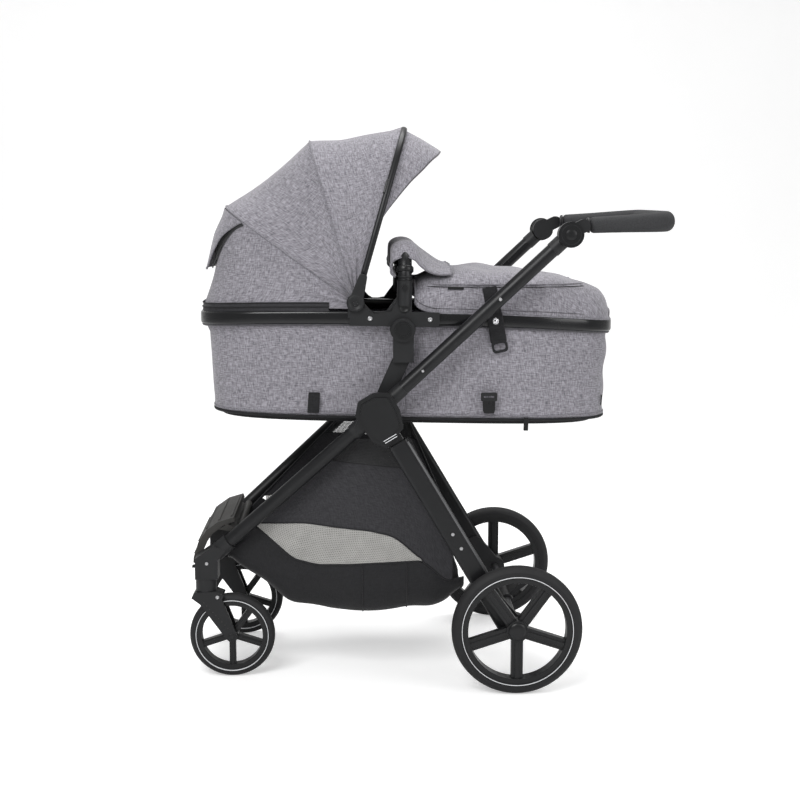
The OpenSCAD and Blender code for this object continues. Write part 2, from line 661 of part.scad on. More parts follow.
// stiff board under the tub
module tub_base() color("#121213") leaning()
    plan_slab(rail_half_l - 36, rail_half_w - 22, base_z - 8, 8, 6);

module mattress() color("#c9c7cc") leaning()
    plan_slab(rail_half_l - 52, rail_half_w - 34, base_z, mattress_h, 6);

// moulding on the rail: swivel eye, rail sleeve, canopy bracket and bumper post socket
module swivel_housing(side) color("#1e1f21") leaning() on_side(side) difference() {
    union() {
        plate(housing_y[0], housing_y[1]) {
            translate(swivel) circle(27);
            translate([hinge_x - 12, rim_z - 16]) square([190, 31]);
            polygon([[hinge_x - 16, rim_z], [hinge_x - 16, hinge_z - 8], [hinge_x + 16, hinge_z + 2],
                [hinge_x + 44, rim_z + 4]]);
            polygon([[post_x - 15, rim_z], [post_x - 15, hinge_z + 16], [post_x - 44, rim_z + 8]]);
            translate([post_x - 16, swivel[1]]) square([32, post_split_z - swivel[1]]);
        }
        y_bar([hinge_x, hinge_z], 19, housing_y[0], housing_y[1]);
        y_bar([hinge_x, hinge_z], 4.5, housing_y[0] - 20, lug_y[1] + 2);
        // screws' bosses that go into the rail
        for (x = rail_screw_x) y_bar([x, rim_z], 5, housing_y[0] - 8, housing_y[0] + 1);
        // socket that the bumper bar drops into
        translate([post_x, post_half, post_split_z - 52]) cylinder(r = 16, h = 52);
    }
    translate([post_x, post_half, post_split_z - 46]) cylinder(r = 11 + run_gap, h = 60);
    y_bar(swivel, 9, 0, adapter_y[1]);
    // opening of the bumper button
    translate([post_x, post_half, post_split_z - 15]) rotate([-90, 0, 0]) cylinder(r = 6.5 + run_gap, h = 40);
}

// ringed button on the seat's swivel
module recline_button(side) color("#232427") placed() on_side(side) difference() {
    union() {
        y_bar(swivel, 17 - run_gap, adapter_y[1] - 8 + button_travel + 0.3, adapter_y[1] + 5);
        y_bar(swivel, 4, adapter_y[0] - 4, adapter_y[1]);
    }
    y_bar(swivel, 13, adapter_y[1] + 4, adapter_y[1] + 6);
}

module bumper_button(side) color("#141516") leaning() on_side(side)
    translate([post_x, post_half + 11.4 + button_travel, post_split_z - 15]) rotate([-90, 0, 0])
        cylinder(r = 6.5, h = 5.6);

// ---- foot cover ----
cover_n = [5, 3];
// how far the cover stands outside the rail's centre line
cover_proud = 3.4;
cover_x = [cover_front_x, 104, 130, 170, 215, 270, 330, 390, 440, 480, 505, 520, cover_end_x];
cover_crown = [[cover_front_x, cover_rise - 34], [130, cover_rise - 12], [180, cover_rise], [270, cover_rise],
    [390, cover_rise - 10], [485, cover_rise - 24], [512, cover_rise - 46], [cover_end_x, 10]];
function rim_half_at(x, shrink) = (rail_half_w + shrink)
    * pow(max(0.0001, 1 - pow(min(1, abs(x - rim_x) / (rail_half_l + shrink)), plan_n)), 1 / plan_n);

function cover_section(x, wall, steps = 20) =
    let (low = rail_top - droop(x) - 1, half = rim_half_at(x, cover_proud) - wall, rise = on_line(cover_crown, x) - wall)
    [for (j = [0 : steps]) let (a = j * 180 / steps)
        [x - wall * (x > 500 ? 1 : 0), half * signed_pow(cos(a), 2 / cover_n[0]),
            low + rise * pow(max(sin(a), 0), 2 / cover_n[1])]];

// height of the cover's outer face at the place x, y
function cover_height(x, y) = rail_top - droop(x) - 1 + on_line(cover_crown, x)
    * pow(max(0, 1 - pow(min(1, abs(y) / rim_half_at(x, cover_proud)), cover_n[0])), 1 / cover_n[1]);

module foot_cover() color("#9b98a0") leaning()
    sheet_solid([for (x = cover_x) cover_section(x, 0)], [for (x = cover_x) cover_section(x, 3)]);

// ================= canopy =================

bow_steps = 24;
bow_n = 2.7;

// a point of a bow with the radius r, leaning a degrees from upright, at the angle t along it
function bow_point(r, a, half, t) =
    let (y = half * signed_pow(cos(t), 2 / bow_n), d = r * pow(max(sin(t), 0), 2 / bow_n))
    [hinge_x + d * sin(a), y, hinge_z + d * cos(a)];

// a point of the edge where the canopy meets the rail's head end
function rim_edge_point(half, inset, t) =
    let (y = half * signed_pow(cos(t), 2 / bow_n),
        x = mix(hinge_x, rim_x - rim_length / 2 + 4 + inset, pow(max(sin(t), 0), 2 / bow_n)))
    [x, y, rail_top - 0.5 - droop(x)];

function between(p, q, rows, sag) = [for (i = [0 : rows]) let (t = i / rows)
    [for (j = [0 : len(p) - 1]) let (m = mix(p[j], q[j], t), c = [hinge_x, 0, hinge_z])
        m + unit(c - m) * sag * 4 * t * (1 - t)]];

t_first = 7;
// the front bow starts outside the rail's mouldings and closes in to the fabric
function front_bow_point(r, a, half, t) = let (p = bow_point(r, a, half, t), d = norm([p[0] - hinge_x, p[2] - hinge_z]))
    [p[0], p[1] * (1 - 0.065 * (1 - exp(-d / 50))), p[2]];

function bow_run(r, a, half) = [for (j = [0 : bow_steps]) bow_point(r, a, half,
    mix(t_first, 180 - t_first, j / bow_steps))];
function rim_run(half, inset) = [for (j = [0 : bow_steps]) rim_edge_point(half, inset,
    mix(t_first, 180 - t_first, j / bow_steps))];

fabric_half = bow_half - 6;
panel_gap = 1.2;

// roof fabric between the rail and the rear bow
module canopy_back() color("#9b98a0") leaning() {
    w = canopy_wall;
    sheet_solid(between(rim_run(fabric_half, 0), bow_run(rear_bow_r, rear_bow_a - panel_gap, fabric_half), 4, 3),
        between(rim_run(fabric_half - w, w), bow_run(rear_bow_r - w, rear_bow_a - panel_gap, fabric_half - w), 4, 3));
}

module roof_panel(r0, a0, r1, a1, sag) {
    w = canopy_wall;
    sheet_solid(between(bow_run(r0, a0, fabric_half), bow_run(r1, a1, fabric_half), 5, sag),
        between(bow_run(r0 - w, a0, fabric_half - w), bow_run(r1 - w, a1, fabric_half - w), 5, sag));
}

module canopy_rear_panel() color("#9b98a0") leaning()
    roof_panel(rear_bow_r, rear_bow_a, middle_bow_r, middle_bow_a - 2 * panel_gap, 5);
module canopy_front_panel() color("#9b98a0") leaning()
    roof_panel(middle_bow_r, middle_bow_a + 2 * panel_gap, front_bow_r - 7, front_bow_a - 1.5, 5);

module bow(r, a, half, section) {
    path = [for (j = [0 : bow_steps + 4]) bow_point(r, a, half, j * 180 / (bow_steps + 4))];
    sweep(path, section, [cos(a), 0, -sin(a)]);
}

module canopy_middle_bow() color("#1a1a1b") leaning() {
    difference() {
        union() {
            bow(middle_bow_r - 12, middle_bow_a, fabric_half - 10, ring(3.2, 2.5, 8));
            for (s = [-1, 1]) on_side(s) y_bar([hinge_x, hinge_z], 9, fabric_half - 14, fabric_half - 6.5);
        }
        for (s = [-1, 1]) on_side(s) y_bar([hinge_x, hinge_z], 4.5 + run_gap, 150, 300);
    }
}

// tube of the front bow between its sockets, and a tapered socket with an eye on each side
module canopy_front_bow() color("#161718") leaning() {
    half = (lug_y[0] + lug_y[1]) / 2;
    path = [for (j = [0 : bow_steps]) front_bow_point(front_bow_r, front_bow_a, half, mix(4.4, 175.6, j / bow_steps))];
    sweep(path, ring(4.5, bow_d / 2, 12), [cos(front_bow_a), 0, -sin(front_bow_a)]);
    for (s = [-1, 1]) on_side(s) difference() {
        plate(lug_y[0], lug_y[1]) {
            translate([hinge_x, hinge_z]) circle(18);
            translate([hinge_x, hinge_z]) rotate(-front_bow_a)
                polygon([[-15, 0], [15, 0], [9, 58], [-9, 58]]);
        }
        y_bar([hinge_x, hinge_z], 4.5 + run_gap, 0, 300);
    }
}

// peak in front of the front bow
module visor() color("#9b98a0") leaning() {
    reach = function(t) 96 * pow(max(0, sin(mix(0, 180, t))), 0.8);
    row = function(k, w) [for (j = [0 : bow_steps]) let (t = j / bow_steps,
        p = bow_point(front_bow_r - 2 - w, front_bow_a + 1.3, fabric_half - w, mix(32, 148, t)),
        out = unit([cos(front_bow_a + 12), 0, -sin(front_bow_a + 12)]))
        p + out * reach(t) * k / 3 - [0, 0, 8 * k / 3 * k / 3 * sin(180 * t)]];
    sheet_solid([for (k = [0 : 3]) row(k, 0)], [for (k = [0 : 3]) row(k, canopy_wall)]);
}

// ================= bumper bar =================

bar_top_z = 940;
bar_r = 14.5;
bar_corner = 58;

// moulded hoop: legs with a drilled spigot at each foot, round elbows and a cross bar
module bumper_bar() color("#1b1c1d") leaning() difference() {
    union() {
        for (s = [-1, 1]) on_side(s) {
            translate([post_x, post_half, post_split_z + 0.3])
                cylinder(r = bar_r, h = bar_top_z - bar_corner - post_split_z - 0.3);
            translate([post_x, post_half, post_split_z - 40]) cylinder(r = 11, h = 52);
            translate([post_x, post_half - bar_corner, bar_top_z - bar_corner]) rotate([0, 0, 90])
                rotate([90, 0, 0]) rotate_extrude(angle = 90) translate([bar_corner, 0]) circle(bar_r);
        }
        y_bar([post_x, bar_top_z], bar_r, bar_corner - post_half, post_half - bar_corner);
    }
    for (s = [-1, 1]) on_side(s) translate([post_x, post_half, post_split_z - 41]) cylinder(r = 8, h = 42);
}

// soft flap of the foot cover, turned over the bar and laid on the cover
flap_turn = [for (a = [200 : -20 : 20]) a];
function flap_row(grow, y) = let (c = [post_x, bar_top_z], r = bar_r + 2 + grow)
    concat([[c[0] - r, y, c[1] - 52]], [for (a = flap_turn) [c[0] + r * cos(a), y, c[1] + r * sin(a)]],
        [for (x = [112, 140, 168]) [x, y, cover_height(x, y) + 2.5 + grow + 14 * pow((168 - x) / 56, 2)]]);

module bumper_flap() color("#9b98a0") leaning() {
    half = post_half - bar_corner - 4;
    rows = [for (i = [0 : 10]) mix(-half, half, i / 10)];
    sheet_solid([for (y = rows) flap_row(4, y)], [for (y = rows) flap_row(0, y)]);
}

// ================= nodes =================

front_tube(-1);  // front_tube_left
front_tube(1);  // front_tube_right
knuckle(-1);  // knuckle_left
knuckle(1);  // knuckle_right
footrest();
hub_housing(-1);  // hub_left
hub_housing(1);  // hub_right
hub_covers();
seat_adapter(-1);  // seat_adapter_left
seat_adapter(1);  // seat_adapter_right
frame_screws();
basket();
swivel_lock(-1);  // swivel_lock_left
swivel_lock(1);  // swivel_lock_right
rear_leg(-1);  // rear_leg_left
rear_leg(1);  // rear_leg_right
rear_axle();
axle_brackets();
leg_screws();
brake_pedal();
push_tube(-1);  // push_tube_left
push_tube(1);  // push_tube_right
push_sockets();
fold_slider(-1);  // fold_slider_left
fold_slider(1);  // fold_slider_right
handle_core();
handle_grip();
handle_hinges();
handle_button(-1);  // handle_button_left
handle_button(1);  // handle_button_right
rear_tyre(-1);  // rear_tyre_left
rear_rim(-1);  // rear_rim_left
rear_tyre(1);  // rear_tyre_right
rear_rim(1);  // rear_rim_right
front_tyre(-1);  // front_tyre_left
front_rim(-1);  // front_rim_left
front_tyre(1);  // front_tyre_right
front_rim(1);  // front_rim_right
fork(-1);  // fork_left
fork(1);  // fork_right
rim_rail();
tub();
tub_base();
mattress();
swivel_housing(-1);  // swivel_housing_left
swivel_housing(1);  // swivel_housing_right
recline_button(-1);  // recline_button_left
recline_button(1);  // recline_button_right
foot_cover();
canopy_back();
canopy_middle_bow();
canopy_rear_panel();
canopy_front_bow();
canopy_front_panel();
visor();
bumper_bar();
bumper_flap();
bumper_button(-1);  // bumper_button_left
bumper_button(1);  // bumper_button_right
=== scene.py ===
"""Looks of the baby stroller: fabrics, mouldings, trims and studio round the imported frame. Metres, +Z up."""
import json
import math
import bpy
import numpy as np
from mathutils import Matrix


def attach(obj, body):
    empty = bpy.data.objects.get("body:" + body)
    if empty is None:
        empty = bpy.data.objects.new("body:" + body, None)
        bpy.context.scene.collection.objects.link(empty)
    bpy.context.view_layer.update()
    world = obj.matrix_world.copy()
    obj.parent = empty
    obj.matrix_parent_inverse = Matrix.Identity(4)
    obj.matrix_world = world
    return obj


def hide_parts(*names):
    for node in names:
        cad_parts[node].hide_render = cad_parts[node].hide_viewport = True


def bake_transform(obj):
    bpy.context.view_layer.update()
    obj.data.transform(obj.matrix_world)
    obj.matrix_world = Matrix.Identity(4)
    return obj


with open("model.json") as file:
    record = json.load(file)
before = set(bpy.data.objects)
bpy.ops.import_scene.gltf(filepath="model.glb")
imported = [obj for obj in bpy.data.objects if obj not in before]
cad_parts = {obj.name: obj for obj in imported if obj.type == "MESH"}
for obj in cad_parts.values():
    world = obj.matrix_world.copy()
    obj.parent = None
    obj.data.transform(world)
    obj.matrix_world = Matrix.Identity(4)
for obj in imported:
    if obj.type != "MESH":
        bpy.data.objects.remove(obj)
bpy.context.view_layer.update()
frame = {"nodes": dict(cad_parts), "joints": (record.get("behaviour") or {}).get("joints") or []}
nodes = frame["nodes"]
joints = {j["name"]: j for j in frame["joints"]}

# ---------------------------------------------------------------- camera


def make_camera():
    """Camera level with the carrycot, nearly square to the left side."""
    data = bpy.data.cameras.new("camera")
    data.lens = 64.09
    data.sensor_width = 36.0
    camera = bpy.data.objects.new("camera", data)
    camera.location = (-0.14165, -3.2156, 1.054)
    camera.rotation_euler = (math.radians(81.8583), 0.0, math.radians(-1.4558))
    bpy.context.scene.collection.objects.link(camera)
    bpy.context.scene.camera = camera


make_camera()

# ---------------------------------------------------------------- places taken from the frame

SWIVEL = np.array(joints["seat_recline"]["pos_m"])
HUB = np.array(joints["rear_fold"]["pos_m"])
HANDLE = np.array(joints["handle_tilt"]["pos_m"])
CANOPY_HINGE = np.array(joints["canopy_fold"]["pos_m"])
REAR_AXLE = np.array(joints["rear_wheel_left_spin"]["pos_m"])
FRONT_AXLE = np.array(joints["front_wheel_left_spin"]["pos_m"])
CASTER = np.array(joints["caster_left_swivel"]["pos_m"])
# X of the middle of the wheelbase
MID_X = (REAR_AXLE[0] + FRONT_AXLE[0]) / 2
LEAN = math.radians(1.2)

# the seat unit, level and measured from its swivel
HINGE = (-0.101, 0.054)
RAIL_Z, RAIL_TOP = 0.022, 0.036
RIM_X, RIM_HALF_L, RIM_HALF_W = 0.0125, 0.4505, 0.196
RAIL_W, RAIL_H = 0.014, 0.028
TUB_DEPTH = 0.205
TUB_BASE = RAIL_Z - RAIL_H / 2 - TUB_DEPTH
FABRIC_HALF = 0.198
POST_X, POST_Y, BAR_Z, BAR_R = 0.002, 0.208, 0.165, 0.0145
BOWS = {"front": (0.386, 15.0), "middle": (0.358, -17.6), "rear": (0.350, -56.1)}
BOW_SHAPE = 2.7

# ---------------------------------------------------------------- numbers and grids


def signed_power(v, e):
    """|v| to the power e, with v's sign."""
    return np.sign(v) * np.abs(v) ** e


def smooth_step(v, a, b):
    """0 below a, 1 above b, 3t^2 - 2t^3 between."""
    t = np.clip((v - a) / (b - a), 0, 1)
    return t * t * (3 - 2 * t)


def bump(v, centre, width):
    """A Gaussian hill of height 1."""
    return np.exp(-(((v - centre) / width) ** 2))


def waves(u, v, sizes, seed, count=7):
    """Sum of plane waves with random directions and phases, wavelengths from sizes, scaled to about -1..1."""
    r = np.random.default_rng(seed)
    total = np.zeros(np.broadcast(u, v).shape)
    for _ in range(count):
        a, phase = r.uniform(0, math.tau, 2)
        k = math.tau / r.uniform(*sizes)
        total = total + np.sin(k * (u * math.cos(a) + v * math.sin(a)) + phase)
    return total / math.sqrt(count)


def lean(x, y, z):
    """Level seat coordinates from the swivel, turned by LEAN about it and set in the row frame."""
    x, y, z = np.broadcast_arrays(x, y, z)
    c, s = math.cos(LEAN), math.sin(LEAN)
    return np.stack([SWIVEL[0] + x * c + z * s, y, SWIVEL[2] - x * s + z * c], -1)


def droop(x):
    """The rail's ends hang 16 mm below its middle, by the cube of the distance."""
    return 0.016 * np.minimum(1, np.abs(x - RIM_X) / 0.4575) ** 3


def rim_plan(t, grow=0.0):
    """Superellipse |x/a|^3.5 + |y/b|^3.5 = 1 round the rail, at the angle t."""
    e = 2 / 3.5
    return (RIM_X + (RIM_HALF_L + grow) * signed_power(np.cos(t), e),
            (RIM_HALF_W + grow) * signed_power(np.sin(t), e))


def rim_half_width(x, grow=0.0):
    """Half width of that outline at x."""
    u = np.minimum(1, np.abs(x - RIM_X) / (RIM_HALF_L + grow))
    return (RIM_HALF_W + grow) * np.maximum(1e-9, 1 - u ** 3.5) ** (1 / 3.5)


def even_angles(outline, count):
    """Angles at which a closed outline function has evenly spaced points."""
    t = np.linspace(0, math.tau, 4001)
    x, y = outline(t)
    run = np.concatenate([[0], np.cumsum(np.hypot(np.diff(x), np.diff(y)))])
    return np.interp(np.linspace(0, run[-1], count, endpoint=False), run, t)


def grid_normals(p):
    """Unit normals of a grid of points, from the cross product of its two differences."""
    n = np.cross(np.gradient(p, axis=0), np.gradient(p, axis=1))
    return n / np.maximum(np.linalg.norm(n, axis=-1, keepdims=True), 1e-12)


def grid_faces(rows, cols, wrap_rows=False, wrap_cols=False):
    """Quads of a rows x cols grid, each as four vertex numbers."""
    i = np.arange(rows if wrap_rows else rows - 1)[:, None]
    j = np.arange(cols if wrap_cols else cols - 1)[None, :]
    a, b = i * cols + j, i * cols + (j + 1) % cols
    d, c = (i + 1) % rows * cols + j, (i + 1) % rows * cols + (j + 1) % cols
    return np.stack([a, b, c, d], -1).reshape(-1, 4)


# ---------------------------------------------------------------- making pieces


def add_object(name, verts, faces, body=None, material=None, uv=None):
    """Smooth-shaded mesh object at the origin, with its metre-sized uv and its body."""
    mesh = bpy.data.meshes.new(name)
    mesh.from_pydata(np.asarray(verts, float).tolist(), [], [list(map(int, f)) for f in faces])
    mesh.polygons.foreach_set("use_smooth", np.ones(len(mesh.polygons), bool))
    if uv is not None:
        layer = mesh.uv_layers.new(name="cloth")
        loops = np.zeros(len(mesh.loops), int)
        mesh.loops.foreach_get("vertex_index", loops)
        layer.data.foreach_set("uv", np.asarray(uv, float)[loops].ravel())
    mesh.update()
    piece = bpy.data.objects.new(name, mesh)
    bpy.context.scene.collection.objects.link(piece)
    if material:
        mesh.materials.append(material)
    if body:
        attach(piece, body)
    return piece


def grid_uv(p):
    """Distances along the grid's columns and rows, in metres."""
    u = np.zeros(p.shape[:2])
    v = np.zeros(p.shape[:2])
    u[:, 1:] = np.cumsum(np.linalg.norm(np.diff(p, axis=1), axis=-1), axis=1)
    v[1:, :] = np.cumsum(np.linalg.norm(np.diff(p, axis=0), axis=-1), axis=0)
    u -= u.mean(axis=1, keepdims=True)
    return np.stack([u, v], -1).reshape(-1, 2)


def cloth_sheet(name, p, body, material, thick=0.0016, outward=True, wrap=False, levels=1):
    """A sheet through the grid p, with a thickness and rounded by subdivision."""
    rows, cols = p.shape[:2]
    faces = grid_faces(rows, cols, wrap_cols=wrap)
    if not outward:
        faces = faces[:, ::-1]
    piece = add_object(name, p.reshape(-1, 3), faces, body, material, grid_uv(p))
    add_solidify(piece, thick)
    add_subdivision(piece, levels)
    return piece


def add_solidify(piece, thick, offset=-1.0):
    wall = piece.modifiers.new("wall", "SOLIDIFY")
    wall.thickness = thick
    wall.offset = offset
    wall.use_even_offset = False


def add_subdivision(piece, levels=1):
    rounder = piece.modifiers.new("rounder", "SUBSURF")
    rounder.levels = levels
    rounder.render_levels = levels


def add_bevel(piece, width, segments=2, angle=38):
    edge = piece.modifiers.new("edge", "BEVEL")
    edge.width = width
    edge.segments = segments
    edge.limit_method = "ANGLE"
    edge.angle_limit = math.radians(angle)
    edge.harden_normals = False


def sweep_points(path, section, up, closed=False):
    """Each ring is the section's first number along cross(tangent, up) and its second along the ring's own up."""
    path = np.asarray(path, float)
    ahead = np.roll(path, -1, 0) if closed else np.vstack([path[1:], path[-1:]])
    behind = np.roll(path, 1, 0) if closed else np.vstack([path[:1], path[:-1]])
    tangent = ahead - behind
    tangent /= np.linalg.norm(tangent, axis=1, keepdims=True)
    side = np.cross(tangent, np.asarray(up, float))
    side /= np.linalg.norm(side, axis=1, keepdims=True)
    top = np.cross(side, tangent)
    section = np.asarray(section, float)
    if section.ndim == 2:
        section = np.broadcast_to(section, (len(path),) + section.shape)
    return path[:, None] + section[..., :1] * side[:, None] + section[..., 1:] * top[:, None]


def sweep(name, path, section, up, body, material, closed=False):
    """A solid with the section carried along the path; open ends are closed by flat faces."""
    rings = sweep_points(path, section, up, closed)
    m, k = rings.shape[:2]
    faces = grid_faces(m, k, wrap_rows=closed, wrap_cols=True)[:, ::-1].tolist()
    if not closed:
        faces += [list(range(k)), [(m - 1) * k + j for j in range(k)][::-1]]
    return fix_outward(add_object(name, rings.reshape(-1, 3), faces, body, material))


def fix_outward(piece):
    """Turns a closed mesh's faces outwards if its volume comes out negative."""
    mesh = piece.data
    co = np.array([v.co for v in mesh.vertices], float)
    total = sum(np.dot(co[p.vertices[0]], np.cross(co[p.vertices[i]], co[p.vertices[i + 1]]))
                for p in mesh.polygons for i in range(1, len(p.vertices) - 1))
    if total < 0:
        mesh.flip_normals()
    return piece


def circle(r, sides=16, squash=1.0):
    """Points of a circle or oval section."""
    a = np.arange(sides) * math.tau / sides
    return np.stack([r * np.cos(a), r * squash * np.sin(a)], -1)


def round_box(w, h, r, per_corner=5):
    """Outline of a w x h rectangle with corners of radius r."""
    a = np.linspace(0, math.pi / 2, per_corner)
    points = []
    for k, (cx, cy) in enumerate([(1, 1), (-1, 1), (-1, -1), (1, -1)]):
        t = a + k * math.pi / 2
        points.append(np.stack([cx * (w / 2 - r) + r * np.cos(t), cy * (h / 2 - r) + r * np.sin(t)], -1))
    return np.concatenate(points)


def piping(name, path, r, body, material, closed=False, up=(0.13, 0.21, 0.97), sides=10):
    """A thin round cord sewn along an edge."""
    return sweep(name, path, circle(r, sides), up, body, material, closed)


def turned(name, centre, axis, profile, body, material, sides=40):
    """A turned solid: profile rows are (distance along the axis, radius), closed at both ends on the axis."""
    axis = np.asarray(axis, float) / np.linalg.norm(axis)
    helper = np.array([0.0, 0.0, 1.0]) if abs(axis[2]) < 0.9 else np.array([1.0, 0.0, 0.0])
    e1 = np.cross(axis, helper)
    e1 /= np.linalg.norm(e1)
    e2 = np.cross(axis, e1)
    t = np.arange(sides) * math.tau / sides
    profile = np.asarray(profile, float)
    ring = np.cos(t)[:, None] * e1 + np.sin(t)[:, None] * e2
    p = np.asarray(centre) + profile[:, None, :1] * axis + profile[:, None, 1:] * ring[None]
    n = len(profile)
    ends = np.asarray(centre) + profile[[0, -1], :1] * axis
    verts = np.concatenate([p.reshape(-1, 3), ends])
    faces = grid_faces(n, sides, wrap_cols=True).tolist()
    faces += [[n * sides, (j + 1) % sides, j] for j in range(sides)]
    faces += [[n * sides + 1, (n - 1) * sides + j, (n - 1) * sides + (j + 1) % sides] for j in range(sides)]
    return fix_outward(add_object(name, verts, faces, body, material))


def slab(name, outline, y0, y1, body, material, bevel=0.001, along=None):
    """An XZ outline carried from y0 to y1, with its edges rounded."""
    outline = np.asarray(outline, float)
    n = len(outline)
    y = [np.full(n, y0), np.full(n, y1)]
    verts = np.concatenate([np.stack([outline[:, 0], yy, outline[:, 1]], -1) for yy in y])
    faces = [list(range(n)), list(range(n, 2 * n))[::-1]]
    faces += [[i, n + i, n + (i + 1) % n, (i + 1) % n] for i in range(n)]
    piece = fix_outward(add_object(name, verts, faces, body, material))
    piece.data.polygons.foreach_set("use_smooth", np.zeros(len(piece.data.polygons), bool))
    add_bevel(piece, bevel)
    return piece


# ---------------------------------------------------------------- shader parts


def shader(tree, kind, settings=None, **inputs):
    """Adds a node. A socket given as an input is linked, and any other value is set on it; _ stands for a space."""
    node = tree.nodes.new(kind)
    for key, value in (settings or {}).items():
        setattr(node, key, value)
    for key, value in inputs.items():
        name = key.replace("_", " ")
        socket = node.inputs[int(name[1:])] if name[0] == "i" and name[1:].isdigit() else node.inputs[name]
        if isinstance(value, bpy.types.NodeSocket):
            tree.links.new(value, socket)
        else:
            socket.default_value = value
    return node


def new_group(name, inputs, outputs):
    """An empty node group with the named sockets, and its input and output nodes."""
    tree = bpy.data.node_groups.new(name, "ShaderNodeTree")
    for label, kind, value in inputs:
        socket = tree.interface.new_socket(name=label, in_out="INPUT", socket_type=kind)
        if value is not None:
            socket.default_value = value
    for label, kind in outputs:
        tree.interface.new_socket(name=label, in_out="OUTPUT", socket_type=kind)
    return tree, tree.nodes.new("NodeGroupInput"), tree.nodes.new("NodeGroupOutput")


def math_node(tree, operation, a, b=0.5, c=0.5):
    return shader(tree, "ShaderNodeMath", {"operation": operation}, i0=a, i1=b, i2=c).outputs[0]


def remap(tree, value, low, high, to_low, to_high):
    return shader(tree, "ShaderNodeMapRange", None, Value=value, From_Min=low, From_Max=high,
                  To_Min=to_low, To_Max=to_high).outputs[0]


def make_grain_group():
    """Fine two-scale grain of a moulding: a height and a wider mottle."""
    tree, entry, leave = new_group("moulded_grain", [("Vector", "NodeSocketVector", None),
                                                     ("Size", "NodeSocketFloat", 0.001)],
                                   [("Height", "NodeSocketFloat"), ("Mottle", "NodeSocketFloat")])
    scale = math_node(tree, "DIVIDE", 1.0, entry.outputs["Size"])
    fine = shader(tree, "ShaderNodeTexNoise", None, Vector=entry.outputs["Vector"], Scale=scale, Detail=2.0)
    wide = shader(tree, "ShaderNodeTexNoise", None, Vector=entry.outputs["Vector"], Scale=14.0, Detail=4.0)
    tree.links.new(fine.outputs[0], leave.inputs["Height"])
    tree.links.new(wide.outputs[0], leave.inputs["Mottle"])
    return tree


def make_weave_group():
    """Plain weave from two crossed waves, with slubs: a height, and the tone of the mixed yarns."""
    tree, entry, leave = new_group("melange_weave", [("Vector", "NodeSocketVector", None),
                                                     ("Thread", "NodeSocketFloat", 0.0011)],
                                   [("Height", "NodeSocketFloat"), ("Tone", "NodeSocketFloat")])
    parts = shader(tree, "ShaderNodeSeparateXYZ", None, Vector=entry.outputs["Vector"])
    rate = math_node(tree, "DIVIDE", math.pi, entry.outputs["Thread"])
    across, along = [math_node(tree, "SINE", math_node(tree, "MULTIPLY", parts.outputs[k], rate)) for k in (0, 1)]
    crossed = math_node(tree, "MULTIPLY", across, along)
    height = remap(tree, crossed, -1.0, 1.0, 0.0, 1.0)
    tones = []
    for stretch in ((70.0, 400.0, 300.0), (400.0, 70.0, 300.0)):
        mapped = shader(tree, "ShaderNodeMapping", None, Vector=entry.outputs["Vector"], Scale=stretch)
        tones.append(shader(tree, "ShaderNodeTexNoise", None, Vector=mapped.outputs[0], Scale=1.0,
                            Detail=3.0, Roughness=0.65).outputs[0])
    tone = math_node(tree, "ADD", math_node(tree, "MULTIPLY", tones[0], 0.5),
                     math_node(tree, "MULTIPLY", tones[1], 0.5))
    slubs = math_node(tree, "MULTIPLY_ADD", tones[0], 0.6, height)
    tree.links.new(slubs, leave.inputs["Height"])
    tree.links.new(remap(tree, tone, 0.38, 0.62, 0.0, 1.0), leave.inputs["Tone"])
    return tree


def make_dust_group():
    """How much dust lies on faces that look up, broken by noise."""
    tree, entry, leave = new_group("settled_dust", [("Vector", "NodeSocketVector", None),
                                                    ("Amount", "NodeSocketFloat", 0.2)],
                                   [("Mask", "NodeSocketFloat")])
    normal = shader(tree, "ShaderNodeNewGeometry").outputs["Normal"]
    up = shader(tree, "ShaderNodeSeparateXYZ", None, Vector=normal).outputs[2]
    facing = remap(tree, up, 0.2, 1.0, 0.0, 1.0)
    patch = shader(tree, "ShaderNodeTexNoise", None, Vector=entry.outputs["Vector"], Scale=60.0, Detail=5.0)
    mask = math_node(tree, "MULTIPLY", facing, patch.outputs[0])
    tree.links.new(math_node(tree, "MULTIPLY", mask, entry.outputs["Amount"]), leave.inputs["Mask"])
    return tree


GRAIN, WEAVE, DUST = make_grain_group(), make_weave_group(), make_dust_group()


def new_material(name):
    material = bpy.data.materials.new(name)
    material.use_nodes = True
    tree = material.node_tree
    surface = tree.nodes["Principled BSDF"]
    return material, tree, surface


def mixed(tree, factor, a, b):
    """Colour between a and b by a factor socket."""
    node = shader(tree, "ShaderNodeMix", {"data_type": "RGBA"}, i0=factor)
    node.inputs[6].default_value = (*a, 1)
    node.inputs[7].default_value = (*b, 1)
    return node.outputs[2]


def set_bump(tree, surface, height, strength, distance):
    node = shader(tree, "ShaderNodeBump", None, Height=height, Strength=strength, Distance=distance)
    tree.links.new(node.outputs[0], surface.inputs["Normal"])


def object_place(tree):
    return shader(tree, "ShaderNodeTexCoord").outputs["Object"]


